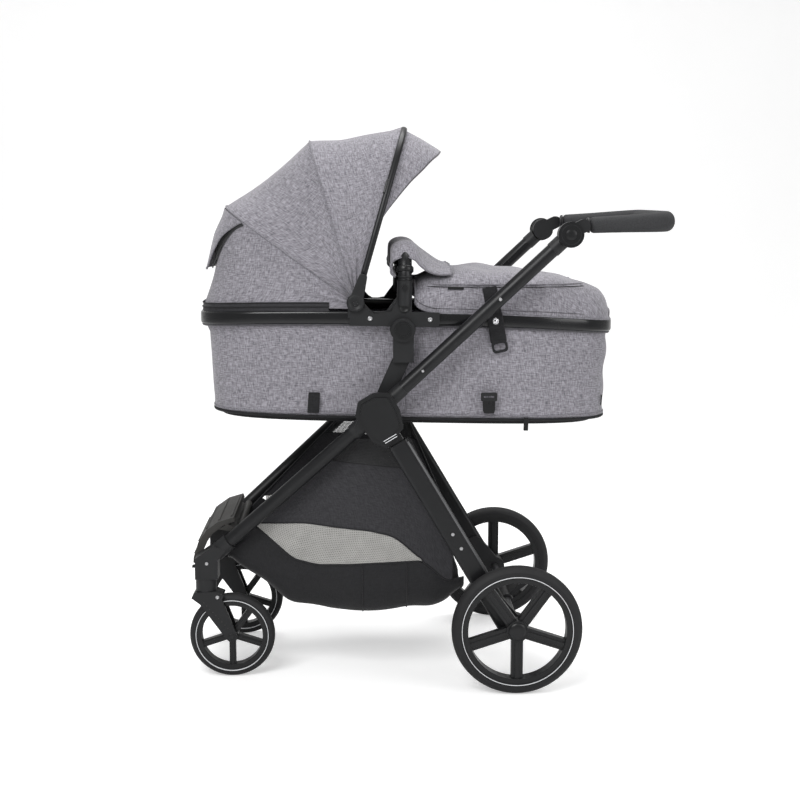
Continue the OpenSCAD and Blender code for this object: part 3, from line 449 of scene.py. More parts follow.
def moulding(name, dark, light, rough, grain=0.0012, depth=0.5, dust=0.10, coat=0.0, metallic=0.0):
    """Moulded or coated part: grain in the bump, mottle in colour and roughness, a little dust on top."""
    material, tree, surface = new_material(name)
    place = object_place(tree)
    fine = shader(tree, "ShaderNodeGroup", {"node_tree": GRAIN}, Vector=place, Size=grain)
    dusty = shader(tree, "ShaderNodeGroup", {"node_tree": DUST}, Vector=place, Amount=dust)
    base = mixed(tree, fine.outputs["Mottle"], dark, light)
    top = shader(tree, "ShaderNodeMix", {"data_type": "RGBA"}, i0=dusty.outputs["Mask"], i6=base)
    top.inputs[7].default_value = (0.22, 0.215, 0.21, 1)
    tree.links.new(top.outputs[2], surface.inputs["Base Color"])
    rough_now = math_node(tree, "ADD", remap(tree, fine.outputs["Mottle"], 0.3, 0.7, rough - 0.05, rough + 0.06),
                          dusty.outputs["Mask"])
    tree.links.new(rough_now, surface.inputs["Roughness"])
    surface.inputs["Specular IOR Level"].default_value = 0.28
    surface.inputs["Coat Weight"].default_value = coat
    surface.inputs["Coat Roughness"].default_value = 0.12
    surface.inputs["Metallic"].default_value = metallic
    set_bump(tree, surface, fine.outputs["Height"], depth, 0.0002)
    return material


def woven(name, dark, light, thread=0.0011, rough=0.92, sheen=0.25, depth=0.55, by_uv=True, crease=0.0010):
    """Woven cloth: mixed yarns in colour, weave and soft creases in the bump."""
    material, tree, surface = new_material(name)
    place = shader(tree, "ShaderNodeUVMap", {"uv_map": "cloth"}).outputs[0] if by_uv else object_place(tree)
    cloth = shader(tree, "ShaderNodeGroup", {"node_tree": WEAVE}, Vector=place, Thread=thread)
    shade = shader(tree, "ShaderNodeTexNoise", None, Vector=object_place(tree), Scale=9.0, Detail=3.0)
    tone = math_node(tree, "MULTIPLY_ADD", shade.outputs[0], 0.25, cloth.outputs["Tone"])
    tree.links.new(mixed(tree, remap(tree, tone, 0.05, 1.2, 0.0, 1.0), dark, light), surface.inputs["Base Color"])
    tree.links.new(remap(tree, cloth.outputs["Height"], 0.0, 1.6, rough + 0.05, rough - 0.08),
                   surface.inputs["Roughness"])
    surface.inputs["Sheen Weight"].default_value = sheen
    surface.inputs["Sheen Roughness"].default_value = 0.45
    surface.inputs["Specular IOR Level"].default_value = 0.25
    soft = shader(tree, "ShaderNodeTexNoise", None, Vector=object_place(tree), Scale=26.0, Detail=2.0,
                  Distortion=0.6)
    broad = shader(tree, "ShaderNodeBump", None, Height=soft.outputs[0], Strength=0.5, Distance=crease)
    fine = shader(tree, "ShaderNodeBump", None, Height=cloth.outputs["Height"], Strength=depth, Distance=0.00025,
                  Normal=broad.outputs[0])
    tree.links.new(fine.outputs[0], surface.inputs["Normal"])
    return material


def open_mesh(name, yarn, pitch, cover, glow=0.0):
    """Knitted net: round holes in a hexagon-like pattern show what is behind, through Alpha."""
    material, tree, surface = new_material(name)
    place = shader(tree, "ShaderNodeUVMap", {"uv_map": "cloth"}).outputs[0]
    parts = shader(tree, "ShaderNodeSeparateXYZ", None, Vector=place)
    rate = math.tau / pitch
    cells = [math_node(tree, "COSINE", math_node(tree, "MULTIPLY", parts.outputs[k], rate * s))
             for k, s in ((0, 1.0), (1, 1.0))]
    field = math_node(tree, "ADD", cells[0], cells[1])
    hole = remap(tree, field, cover, cover + 0.25, 1.0, 0.0)
    mottle = shader(tree, "ShaderNodeTexNoise", None, Vector=object_place(tree), Scale=40.0, Detail=4.0)
    lighter = tuple(min(1.0, c * 1.5 + 0.01) for c in yarn)
    tree.links.new(mixed(tree, mottle.outputs[0], yarn, lighter), surface.inputs["Base Color"])
    tree.links.new(hole, surface.inputs["Alpha"])
    surface.inputs["Roughness"].default_value = 0.8
    surface.inputs["Sheen Weight"].default_value = 0.2
    set_bump(tree, surface, field, 0.4, 0.0004)
    return material


def metal(name, colour, rough, brushed=0.15):
    """Plated metal with fine brushing round it."""
    material, tree, surface = new_material(name)
    mapped = shader(tree, "ShaderNodeMapping", None, Vector=object_place(tree), Scale=(900.0, 60.0, 900.0))
    lines = shader(tree, "ShaderNodeTexNoise", None, Vector=mapped.outputs[0], Scale=1.0, Detail=2.0)
    dark = tuple(c * 0.82 for c in colour)
    tree.links.new(mixed(tree, lines.outputs[0], dark, colour), surface.inputs["Base Color"])
    surface.inputs["Metallic"].default_value = 1.0
    tree.links.new(remap(tree, lines.outputs[0], 0.3, 0.7, rough, rough + brushed), surface.inputs["Roughness"])
    set_bump(tree, surface, lines.outputs[0], 0.15, 0.0001)
    return material


def foam(name, dark, light):
    """Grip foam: closed cells in the bump."""
    material, tree, surface = new_material(name)
    place = object_place(tree)
    cells = shader(tree, "ShaderNodeTexVoronoi", None, Vector=place, Scale=520.0)
    mottle = shader(tree, "ShaderNodeTexNoise", None, Vector=place, Scale=300.0, Detail=3.0)
    tree.links.new(mixed(tree, mottle.outputs[0], dark, light), surface.inputs["Base Color"])
    tree.links.new(remap(tree, cells.outputs[0], 0.0, 0.8, 0.72, 0.95), surface.inputs["Roughness"])
    set_bump(tree, surface, cells.outputs[0], 0.5, 0.0006)
    return material


TUBE = moulding("satin_black_tube", (0.007, 0.0072, 0.008), (0.011, 0.0113, 0.0122), 0.34, 0.0006, 0.12, 0.02,
                metallic=0.12)
MOULDED = moulding("grained_black_plastic", (0.009, 0.0093, 0.010), (0.014, 0.0144, 0.0155), 0.46, 0.0011, 0.45, 0.03)
SMOOTH = moulding("smooth_black_plastic", (0.007, 0.0072, 0.0078), (0.010, 0.0103, 0.011), 0.32, 0.0008, 0.12, 0.03)
GLOSSY = moulding("glossy_rail", (0.005, 0.0052, 0.0058), (0.007, 0.0072, 0.008), 0.22, 0.0008, 0.06, 0.02, coat=0.25)
FOOT_PLASTIC = moulding("footrest_plastic", (0.030, 0.0292, 0.0275), (0.046, 0.0447, 0.042), 0.55, 0.0016, 0.6, 0.08)
RUBBER = moulding("tyre_rubber", (0.009, 0.009, 0.0097), (0.014, 0.014, 0.0152), 0.62, 0.0013, 0.5, 0.08)
# light grey of the strips along the rear legs' edges: a painted highlight
PAINTED_HIGHLIGHT_GREY = moulding("painted_highlight_strip", (0.075, 0.076, 0.079), (0.100, 0.101, 0.104), 0.5, 0.0010, 0.3, 0.04)
BOARD = moulding("stiff_black_board", (0.008, 0.008, 0.009), (0.012, 0.012, 0.013), 0.6, 0.0015, 0.5, 0.02)
FOAM = foam("grip_foam", (0.016, 0.0163, 0.0178), (0.030, 0.0304, 0.0325))
STEEL = metal("plated_screw", (0.46, 0.46, 0.47), 0.30)
AXLE = metal("dark_axle", (0.10, 0.10, 0.105), 0.35)
SNAP = metal("chrome_snap", (0.72, 0.72, 0.74), 0.14, 0.06)
SILVER = moulding("silver_ring", (0.62, 0.63, 0.65), (0.76, 0.77, 0.79), 0.34, 0.0008, 0.1, 0.02)
MELANGE = woven("heather_grey_cloth", (0.080, 0.076, 0.088), (0.330, 0.319, 0.352))
MELANGE_PAD = woven("heather_grey_padding", (0.080, 0.076, 0.088), (0.330, 0.319, 0.352), by_uv=False)
LINING = woven("dark_lining", (0.030, 0.029, 0.033), (0.055, 0.053, 0.059), 0.0009)
BINDING = woven("dark_binding", (0.040, 0.039, 0.044), (0.078, 0.076, 0.083), 0.0008, by_uv=False)
GREY_HEM = woven("grey_hem", (0.085, 0.081, 0.093), (0.240, 0.233, 0.258), 0.0009, by_uv=False)
WEBBING = woven("black_webbing", (0.006, 0.006, 0.007), (0.014, 0.014, 0.0155), 0.0016, 0.8, 0.08, 0.8, by_uv=False)
CHARCOAL = woven("charcoal_side_cloth", (0.016, 0.0157, 0.018), (0.036, 0.0355, 0.0395), 0.0010, 0.80, 0.15, crease=0.003)
BLACK_CLOTH = woven("black_basket_cloth", (0.006, 0.006, 0.007), (0.013, 0.013, 0.0148), 0.0010, 0.66, 0.10, crease=0.002)
MATTRESS = woven("mattress_cover", (0.42, 0.41, 0.44), (0.58, 0.57, 0.60), 0.0014, by_uv=False)
BLACK_NET = open_mesh("black_net", (0.007, 0.007, 0.008), 0.0032, 0.55)
PALE_NET = open_mesh("pale_net", (0.235, 0.232, 0.222), 0.0040, 1.2)

# ---------------------------------------------------------------- CAD pieces that keep their shape

KEPT = {
    TUBE: ["front_tube_left", "front_tube_right", "rear_leg_left", "rear_leg_right", "push_tube_left",
           "push_tube_right", "bumper_bar", "canopy_middle_bow"],
    MOULDED: ["knuckle_left", "knuckle_right", "axle_brackets", "fork_left", "fork_right", "push_sockets",
              "handle_hinges", "brake_pedal", "seat_adapter_left", "seat_adapter_right",
              "swivel_housing_left", "swivel_housing_right", "hub_left", "hub_right"],
    SMOOTH: ["hub_covers", "swivel_lock_left", "swivel_lock_right", "fold_slider_left", "fold_slider_right",
             "handle_button_left", "handle_button_right", "recline_button_left", "recline_button_right",
             "bumper_button_left", "bumper_button_right", "rear_rim_left", "rear_rim_right",
             "front_rim_left", "front_rim_right"],
    FOOT_PLASTIC: ["footrest"],
    RUBBER: ["rear_tyre_left", "rear_tyre_right", "front_tyre_left", "front_tyre_right"],
    STEEL: ["frame_screws", "leg_screws"],
    AXLE: ["rear_axle", "handle_core"],
    BOARD: ["tub_base"],
}
ROUNDED = {"hub_covers": 0.0016, "knuckle_left": 0.0016, "knuckle_right": 0.0016, "fork_left": 0.0012,
           "fork_right": 0.0012, "swivel_housing_left": 0.0012, "swivel_housing_right": 0.0012,
           "seat_adapter_left": 0.0012, "seat_adapter_right": 0.0012, "handle_hinges": 0.0015,
           "push_sockets": 0.0010, "axle_brackets": 0.0012, "footrest": 0.0020, "brake_pedal": 0.0015,
           "rear_rim_left": 0.0012, "rear_rim_right": 0.0012, "front_rim_left": 0.0009, "front_rim_right": 0.0009,
           "handle_button_left": 0.0012, "handle_button_right": 0.0012, "recline_button_left": 0.0010,
           "recline_button_right": 0.0010, "hub_left": 0.0008, "hub_right": 0.0008}


def finish_cad(node, material):
    """Gives a CAD node its finish, and rounds its sharp edges after its loose triangles are joined."""
    piece = nodes[node]
    piece.data.materials.clear()
    piece.data.materials.append(material)
    if node in ROUNDED:
        weld = piece.modifiers.new("weld", "WELD")
        weld.merge_threshold = 0.00002
        add_bevel(piece, ROUNDED[node])
        shade = piece.modifiers.new("even", "WEIGHTED_NORMAL")
        shade.keep_sharp = True


for kept_material, kept_nodes in KEPT.items():
    for kept_node in kept_nodes:
        finish_cad(kept_node, kept_material)

# ---------------------------------------------------------------- wheels


def wheel_trim(side_name, kind):
    """Silver ring let into the tyre, and a domed cap on the hub."""
    s = -1.0 if side_name == "left" else 1.0
    axle = REAR_AXLE if kind == "rear" else FRONT_AXLE
    centre = np.array([axle[0], s * abs(axle[1]), axle[2]])
    half = (0.036 if kind == "rear" else 0.030) / 2 - 0.0010
    ring_r = 0.1182 if kind == "rear" else 0.0795
    body = f"{kind}_wheel_{side_name}"
    faces = [s] if kind == "rear" else [s, -s]
    for k, face in enumerate(faces):
        t = np.linspace(0, math.tau, 120, endpoint=False)
        path = centre + np.stack([ring_r * np.cos(t), np.full_like(t, face * (half + 0.0001)), ring_r * np.sin(t)], -1)
        sweep(f"{kind}_ring_{side_name}_{k}", path, round_box(0.0044, 0.0012, 0.0005, 3)[:, ::-1], (0, 1, 0),
              body, SILVER, closed=True)
    cap_r = 0.0200 if kind == "rear" else 0.0120
    out = half - 0.0005
    profile = [(0, 0.6 * cap_r), (0, cap_r), (0.004, cap_r), (0.0062, cap_r * 0.93), (0.0078, cap_r * 0.72),
               (0.0086, cap_r * 0.4), (0.0088, cap_r * 0.08)]
    turned(f"{kind}_cap_{side_name}", centre + [0, s * (out - 0.003), 0], (0, s, 0), profile, body, SMOOTH)


for wheel_side in ("left", "right"):
    for wheel_kind in ("rear", "front"):
        wheel_trim(wheel_side, wheel_kind)

# ---------------------------------------------------------------- carrycot rail, tub and mattress


def make_rail():
    """Rounded-box section carried round the rim."""
    t = even_angles(rim_plan, 220)
    x, y = rim_plan(t)
    path = lean(x, y, RAIL_Z - droop(x))
    section = round_box(RAIL_W, RAIL_H, 0.0055)
    rail = sweep("rail_moulding", path, section, (0, 0, 1), "seat", GLOSSY, closed=True)
    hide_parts("rim_rail")
    # bead under the rail that the tub's edge is sewn to
    x, y = rim_plan(t, 0.0015)
    piping("rail_bead", lean(x, y, RAIL_Z - RAIL_H / 2 - 0.0015 - droop(x)), 0.0024, "seat", BINDING, closed=True)


TUB_ROWS = ((-0.003, 0.003, 0.0), (-0.009, -0.020, 0.005), (-0.010, -0.055, 0.006), (-0.011, -0.095, 0.007),
            (-0.0135, -0.135, 0.008), (-0.0155, -0.170, 0.009), (-0.014, -0.188, 0.0105), (-0.016, -0.200, 0.0105))


def tub_point(t, s, wall=0.0):
    """Rows of the tub at the angle t; s from 0 at the rail to 1 at the hem reads TUB_ROWS along its length."""
    rows = np.array(TUB_ROWS)
    at = np.linspace(0, 1, len(rows))
    inset, drop, shift = [np.interp(s, at, rows[:, k]) for k in range(3)]
    e = 2 / 3.5
    x = RIM_X + shift + (RIM_HALF_L + inset - wall) * signed_power(np.cos(t), e)
    y = (RIM_HALF_W + inset * 0.6 - wall) * signed_power(np.sin(t), e)
    hang = np.clip((RAIL_Z - RAIL_H / 2 + drop - TUB_BASE) / 0.06, 0, 1)
    return x, y, RAIL_Z - RAIL_H / 2 + drop - droop(x) * hang


def tub_folds(x, z, y):
    """Soft hang of the tub's cloth: broad waves, pulls under the rail, and slanting folds at the foot end."""
    broad = 0.0016 * waves(x + np.sign(y) * 0.7, z, (0.10, 0.26), 11)
    pulls = 0.0010 * np.sin(x * 95 + 3 * np.sin(x * 21)) * smooth_step(z, -0.10, 0.0)
    slant = 0.0034 * np.sin((x * 0.80 + z * 1.05) * 62 + 1.2) * smooth_step(x, 0.20, 0.36) * smooth_step(z, -0.20, -0.06)
    back = 0.0032 * np.sin((x * 0.85 - z) * 56 + 0.6) * bump(x, -0.17, 0.09) * bump(z, -0.11, 0.06)
    return broad + pulls + slant + back


def make_tub():
    """Cloth walls from the rail to the hem, with the piped hem, the bottom edge and sewn seams."""
    t = even_angles(rim_plan, 260)
    s = np.linspace(0, 1, 44)
    tt, ss = np.meshgrid(t, s)
    x, y, z = tub_point(tt, ss)
    p = lean(x, y, z)
    n = -grid_normals(np.concatenate([p, p[:, :1]], 1))[:, :-1]
    centre = lean(RIM_X, 0.0, -0.1)
    n *= np.sign(((p - centre) * n).sum(-1, keepdims=True))
    n = n / np.maximum(np.linalg.norm(n, axis=-1, keepdims=True), 1e-9)
    held = smooth_step(ss, 0.0, 0.12) * (1 - smooth_step(ss, 0.90, 1.0))
    p = p + n * (tub_folds(x, z, y) * held)[..., None]
    walls = cloth_sheet("tub_cloth", p, "seat", MELANGE, 0.0030, outward=False, wrap=True)
    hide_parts("tub")
    x, y, z = tub_point(t, np.full_like(t, 0.925))
    piping("tub_hem_cord", lean(x, y, z), 0.0030, "seat", GREY_HEM, closed=True)
    x, y, z = tub_point(t, np.ones_like(t), -0.001)
    piping("tub_bottom_edge", lean(x, y, z - 0.0015), 0.0030, "seat", WEBBING, closed=True, up=(0, 0, 1))
    tub_seams()


def side_line(x0, s, side):
    """Points down the tub's side at the level place x0."""
    u = np.clip(np.abs(x0 + 0 * s - RIM_X) / (RIM_HALF_L - 0.015), 0, 0.999)
    t = np.arccos(np.clip(u ** 1.75, 0, 1))
    t = np.where(x0 > RIM_X, t, math.pi - t) * side
    x, y, z = tub_point(t, s)
    return np.stack([x, y, z], -1)



def tub_seams():
    """Flat seam down each side where the panels meet."""
    s = np.linspace(0.03, 0.90, 26)
    held = smooth_step(s, 0.0, 0.12) * (1 - smooth_step(s, 0.90, 1.0))
    for side in (-1, 1):
        x, y, z = side_line(0.002, s, side).T
        y += side * tub_folds(x, z, y) * held
        piping(f"tub_seam_{'left' if side < 0 else 'right'}", lean(x, y, z), 0.0011, "seat", GREY_HEM, up=(1, 0, 0), sides=8)



def make_mattress():
    """Crowned pad: starts as a slab over the board, swells in a cloth simulation, keeps a piped edge."""
    t = even_angles(rim_plan, 120)
    levels = np.array([0.0, 0.25, 0.5, 0.75, 1.0])
    e = 2 / 3.5
    a, b, low, high = RIM_HALF_L - 0.060, RIM_HALF_W - 0.042, TUB_BASE + 0.004, TUB_BASE + 0.040
    rows = []
    for scale, z in [(0.02, low), (0.5, low), (0.97, low)] + [(1.0, low + (high - low) * f) for f in levels[1:4]] \
            + [(0.97, high), (0.75, high), (0.5, high), (0.25, high), (0.02, high)]:
        rows.append(np.stack([RIM_X + 0.006 + a * scale * signed_power(np.cos(t), e),
                              b * scale * signed_power(np.sin(t), e), np.full_like(t, z)], -1))
    p = np.array(rows)
    q = lean(p[..., 0], p[..., 1], p[..., 2])
    m = len(t)
    faces = grid_faces(len(rows), m, wrap_cols=True).tolist()
    faces += [list(range(m)), [(len(rows) - 1) * m + j for j in range(m)][::-1]]
    pad = fix_outward(add_object("mattress_pad", q.reshape(-1, 3), faces, None, MATTRESS))
    swell(pad, 0.006, 0.005)
    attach(pad, "seat")
    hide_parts("mattress")
    x, y = RIM_X + 0.006 + (a + 0.003) * signed_power(np.cos(t), e), (b + 0.003) * signed_power(np.sin(t), e)
    piping("mattress_piping", lean(x, y, (low + high) / 2 + 0.001), 0.0028, "seat", GREY_HEM, closed=True)


def swell(piece, voxel, cap):
    """Remesh, blow up with cloth pressure, cap how far a point moves, and round once."""
    scene = bpy.context.scene
    bpy.context.view_layer.objects.active = piece
    remesh = piece.modifiers.new("remesh", "REMESH")
    remesh.mode = "VOXEL"
    remesh.voxel_size = voxel
    bake_modifiers(piece)
    before = mesh_points(piece)
    cloth = piece.modifiers.new("cloth", "CLOTH")
    cloth.settings.use_pressure = True
    cloth.settings.uniform_pressure_force = 4.0
    cloth.settings.effector_weights.gravity = 0.0
    cloth.settings.quality = 5
    cloth.point_cache.frame_start = 1
    cloth.point_cache.frame_end = 20
    for step in range(1, 21):
        scene.frame_set(step)
    bake_modifiers(piece)
    scene.frame_set(1)
    move = mesh_points(piece) - before
    size = np.maximum(np.linalg.norm(move, axis=1, keepdims=True), 1e-9)
    piece.data.vertices.foreach_set("co", (before + move * np.minimum(1, cap / size)).ravel())
    piece.data.polygons.foreach_set("use_smooth", np.ones(len(piece.data.polygons), bool))
    piece.data.update()
    add_subdivision(piece)
    return piece


def mesh_points(piece):
    co = np.zeros(len(piece.data.vertices) * 3)
    piece.data.vertices.foreach_get("co", co)
    return co.reshape(-1, 3)


def bake_modifiers(piece):
    """Puts the modifiers' result in the mesh."""
    graph = bpy.context.evaluated_depsgraph_get()
    made = bpy.data.meshes.new_from_object(piece.evaluated_get(graph))
    piece.modifiers.clear()
    old = piece.data
    materials = list(old.materials)
    piece.data = made
    made.materials.clear()
    for m in materials:
        made.materials.append(m)


make_rail()
make_tub()
make_mattress()

# ---------------------------------------------------------------- canopy


def bow_point(bow, t, inset=0.0, half=FABRIC_HALF):
    """Superellipse arch of a bow: y = half cos^(2/n), height r sin^(2/n), leaning by the bow's angle."""
    r, angle = BOWS[bow]
    a, e = math.radians(angle), 2 / BOW_SHAPE
    d = (r - inset) * np.maximum(np.sin(t), 0) ** e
    y = (half - inset) * signed_power(np.cos(t), e)
    return np.stack([HINGE[0] + d * math.sin(a), y, HINGE[1] + d * math.cos(a)], -1)


def rim_edge(t, lift=0.0, grow=0.0):
    """Edge where the canopy meets the rail at the head end, from the hinge round to the hinge."""
    e = 2 / BOW_SHAPE
    y = (FABRIC_HALF + grow) * signed_power(np.cos(t), e)
    far = RIM_X - 0.4575 + 0.004 - grow
    x = HINGE[0] + (far - HINGE[0]) * np.maximum(np.sin(t), 0) ** e
    return np.stack([x, y, RAIL_TOP - 0.0005 - droop(x) + lift + 0 * t], -1)


def arch_angles(count, first=0.8):
    """Angles that space a bow's points evenly along it."""
    t = np.radians(np.linspace(first, 180 - first, 2001))
    p = bow_point("front", t)
    run = np.concatenate([[0], np.cumsum(np.linalg.norm(np.diff(p, axis=0), axis=1))])
    return np.interp(np.linspace(0, run[-1], count), run, t)


def panel_grid(first, last, rows, sag, seed, gather=0.0022, ripple=0.0020):
    """Straight lines between two edges, drawn in by sag at the middle, rippled, and gathered near the hinge."""
    u = np.linspace(0, 1, rows)[:, None]
    p = first[None] * (1 - u[..., None]) + last[None] * u[..., None]
    middle = np.array([HINGE[0], 0.0, HINGE[1]])
    inward = middle - p
    reach = np.linalg.norm(inward, axis=-1)
    inward /= reach[..., None]
    hollow = 4 * u * (1 - u)
    v = np.linspace(0, 1, p.shape[1])[None, :]
    near = np.hypot(p[..., 0] - HINGE[0], p[..., 2] - HINGE[1])
    pleats = gather * np.sin(u * math.pi * 6 + 2.0 * np.sin(v * 9)) * (1 - smooth_step(near, 0.05, 0.26))
    soft = ripple * waves(u * 0.22 + 0 * v, v * 0.95 + 0 * u, (0.10, 0.30), seed)
    edge = smooth_step(hollow, 0.0, 0.5)
    return p + inward * ((sag * hollow) + (pleats + soft) * edge)[..., None]


def fan_blend(piece):
    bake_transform(piece)
    p = mesh_points(piece) - CANOPY_HINGE


def seam_cord(name, points, body, material=GREY_HEM, r=0.0016):
    return piping(name, lean(points[:, 0], points[:, 1], points[:, 2]), r, body, material, up=(1, 0.02, 0.3))


def make_canopy():
    """Three cloths between the rail, the rear seam, the middle bow and the front bow, with piped seams."""
    t = arch_angles(110)
    edge, rear = rim_edge(t, 0.006), bow_point("rear", t)
    a = math.radians(BOWS["front"][1])
    tuck = 0.006 * smooth_step(np.sin(t), 0.0, 0.3)[:, None] * np.array([-math.cos(a), 0, math.sin(a)])
    middle, front = bow_point("middle", t), bow_point("front", t, -0.002) + tuck
    grids = {"canopy_back_cloth": panel_grid(edge, rear, 26, 0.004, 3, 0.0015),
             "canopy_rear_cloth": panel_grid(rear, middle, 30, 0.010, 5),
             "canopy_front_cloth": panel_grid(middle, front, 30, 0.005, 8)}
    pieces = {}
    for name, g in grids.items():
        body = "seat" if name == "canopy_back_cloth" else None
        pieces[name] = cloth_sheet(name, lean(g[..., 0], g[..., 1], g[..., 2]), body, MELANGE, 0.0022)
    back, rear_cloth, front_cloth = pieces.values()
    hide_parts("canopy_back")
    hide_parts("canopy_rear_panel")
    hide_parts("canopy_front_panel")
    fan_blend(rear_cloth)
    fan_blend(front_cloth)
    seam_cord("rear_seam_cord", bow_point("rear", t, -0.0008), "seat")
    seam_cord("middle_seam_cord", bow_point("middle", t, -0.0008), "canopy_middle")


def front_bow_line(t):
    """The bow's centre line: outside the mouldings at its feet, closing in to the cloth."""
    p = bow_point("front", t, 0.0, 0.220)
    d = np.hypot(p[:, 0] - HINGE[0], p[:, 2] - HINGE[1])
    p[:, 1] *= 1 - 0.065 * (1 - np.exp(-d / 0.050))
    return p


def make_front_bow():
    """Oval tube of the front bow, with its tapered feet and pivot screws."""
    t = np.radians(np.linspace(4.4, 175.6, 140))
    p = front_bow_line(t)
    a = math.radians(BOWS["front"][1])
    path = lean(p[:, 0], p[:, 1], p[:, 2])
    up = (math.cos(a + LEAN), 0, -math.sin(a + LEAN))
    tube = sweep("front_bow_tube", path, circle(0.0045, 20, 0.0068 / 0.0045), up, "canopy_front", TUBE)
    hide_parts("canopy_front_bow")
    for side in (-1, 1):
        name = "left" if side < 0 else "right"
        c = lean(HINGE[0], side * 0.2165, HINGE[1])
        turned(f"bow_eye_{name}", c, (0, side, 0), [(0, 0.004), (0, 0.0170), (0.0008, 0.0180), (0.0062, 0.0180),
                                                   (0.0076, 0.0165), (0.0076, 0.0120), (0.0062, 0.0112),
                                                   (0.0062, 0.0050)], "canopy_front", MOULDED)
        turned(f"bow_pivot_screw_{name}", c + [0, side * 0.0056, 0], (0, side, 0),
               [(0, 0.003), (0, 0.0050), (0.0014, 0.0050), (0.0022, 0.0036), (0.0023, 0.0010)], "canopy_front", STEEL)
        foot = np.array([(-0.0150, 0.0), (0.0150, 0.0), (0.0122, 0.030), (0.0086, 0.060), (0.0060, 0.0635),
                         (-0.0060, 0.0635), (-0.0086, 0.060), (-0.0122, 0.030)])
        b = a + LEAN
        outline = np.stack([c[0] + foot[:, 0] * math.cos(b) + foot[:, 1] * math.sin(b),
                            c[2] - foot[:, 0] * math.sin(b) + foot[:, 1] * math.cos(b)], -1)
        y = sorted((side * 0.2162, side * 0.2238))
        slab(f"bow_foot_{name}", outline, *y, "canopy_front", MOULDED, 0.0018)


def make_visor():
    """Peak on the front bow: reach grows with height along the bow, bent down towards its edge."""
    r, angle = BOWS["front"]
    lowest = math.asin((0.166 / r) ** (BOW_SHAPE / 2))
    t = np.linspace(lowest, math.pi - lowest, 90)
    base = bow_point("front", t, 0.0045)
    d = np.hypot(base[:, 0] - HINGE[0], base[:, 2] - HINGE[1])
    share = np.clip((d - 0.166) / (r - 0.0045 - 0.166), 0, 1)
    reach = 0.082 * share ** 1.25 + 0.008 * np.sin((t - lowest) / (math.pi - 2 * lowest) * math.pi) ** 2
    a = math.radians(angle + 10)
    out = np.array([math.cos(a), 0, -math.sin(a)])
    k = np.linspace(0, 1, 14)[:, None]
    p = base[None] + out * (reach * k)[..., None]
    p[..., 2] -= 0.006 * k ** 2 * share
    p[..., 1] *= 1 - 0.03 * k
    p[..., 2] += 0.0016 * waves(k * 0.1, t[None] * 0.30, (0.08, 0.2), 21) * k
    visor = cloth_sheet("visor_cloth", lean(p[..., 0], p[..., 1], p[..., 2]), "canopy_front", MELANGE, 0.0024,
                        outward=False)
    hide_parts("visor")
    rim = p[-1]
    piping("visor_edge", lean(rim[:, 0], rim[:, 1], rim[:, 2]), 0.0022, "canopy_front", BINDING, up=(0.9, 0.1, 0.4))
    seam = p[9]
    piping("visor_stitch_line", lean(seam[:, 0], seam[:, 1], seam[:, 2] + 0.0006), 0.0007, "canopy_front", GREY_HEM,
           up=(0.9, 0.1, 0.4), sides=6)


def make_canopy_trims():
    """Dark band and zip along the rail, the vent's flap and net, and the toggle on the bow."""
    t = arch_angles(110, 5.0)
    low, high = rim_edge(t, -0.003, 0.0018), rim_edge(t, 0.0175, 0.0006)
    u = np.linspace(0, 1, 7)[:, None, None]
    band = low * (1 - u) + high * u
    strip = cloth_sheet("rail_band", lean(band[..., 0], band[..., 1], band[..., 2]), "seat", CHARCOAL, 0.0012)
    for k, lift in enumerate((0.0085, 0.0175)):
        line = rim_edge(t, lift, 0.0022 - 0.06 * lift)
        seam_cord(f"band_zip_{k}", line, "seat", WEBBING, 0.0014)
    # vent on the back panel: a net with a flap sewn along its top
    down = np.linspace(0, 1, 18)[:, None]
    across = (0.138 - 0.074 * down ** 0.9) * np.linspace(-1, 1, 44)

    def back_place(y, share, off):
        ty = np.arccos(np.clip(np.abs(y) / FABRIC_HALF, 0, 1) ** (BOW_SHAPE / 2))
        ty = np.where(y < 0, math.pi - ty, ty)
        e, r = rim_edge(ty, 0.006), bow_point("rear", ty)
        q = r * (1 - share[..., None]) + e * share[..., None]
        away = q - np.array([HINGE[0], 0, HINGE[1]])
        away /= np.linalg.norm(away, axis=-1, keepdims=True)
        return q + away * np.asarray(off)[..., None]

    share = 0.020 + 0.60 * down + 0 * across
    net = back_place(across * 1.04, share * 0.97 + 0.006, 0.0012)
    net_piece = cloth_sheet("vent_net", lean(net[..., 0], net[..., 1], net[..., 2]), "seat", BLACK_NET, 0.0008)
    flap = back_place(across, share, 0.0035 + 0.0095 * smooth_step(down, 0.05, 0.5) + 0 * across)
    flap_piece = cloth_sheet("vent_flap", lean(flap[..., 0], flap[..., 1], flap[..., 2]), "seat", MELANGE, 0.0020)
    border = np.concatenate([flap[:, 0], flap[-1, 1:-1], flap[::-1, -1]])
    piping("vent_flap_hem", lean(border[:, 0], border[:, 1], border[:, 2]), 0.0016, "seat", GREY_HEM, up=(1, 0.1, 0.2))
    # short dark pull in a slot behind the bow, on the left
    line = front_bow_line(math.pi - np.radians(np.linspace(31.0, 37.5, 9)))
    a = math.radians(BOWS["front"][1])
    line += 0.0058 * np.array([-math.cos(a), -0.5, math.sin(a)])
    sweep("bow_slot_pull", lean(line[:, 0], line[:, 1], line[:, 2]), round_box(0.0050, 0.0040, 0.0014, 4), (0.3, 1, 0),
          "canopy_front", SMOOTH)



make_canopy()
make_front_bow()
make_visor()
make_canopy_trims()

# ---------------------------------------------------------------- foot cover

COVER_X = (0.025, 0.466)
COVER_CROWN = ((0.025, 0.060), (0.063, 0.081), (0.113, 0.092), (0.203, 0.093), (0.323, 0.085), (0.405, 0.074),
               (0.438, 0.064), (0.455, 0.045), (0.466, 0.012))


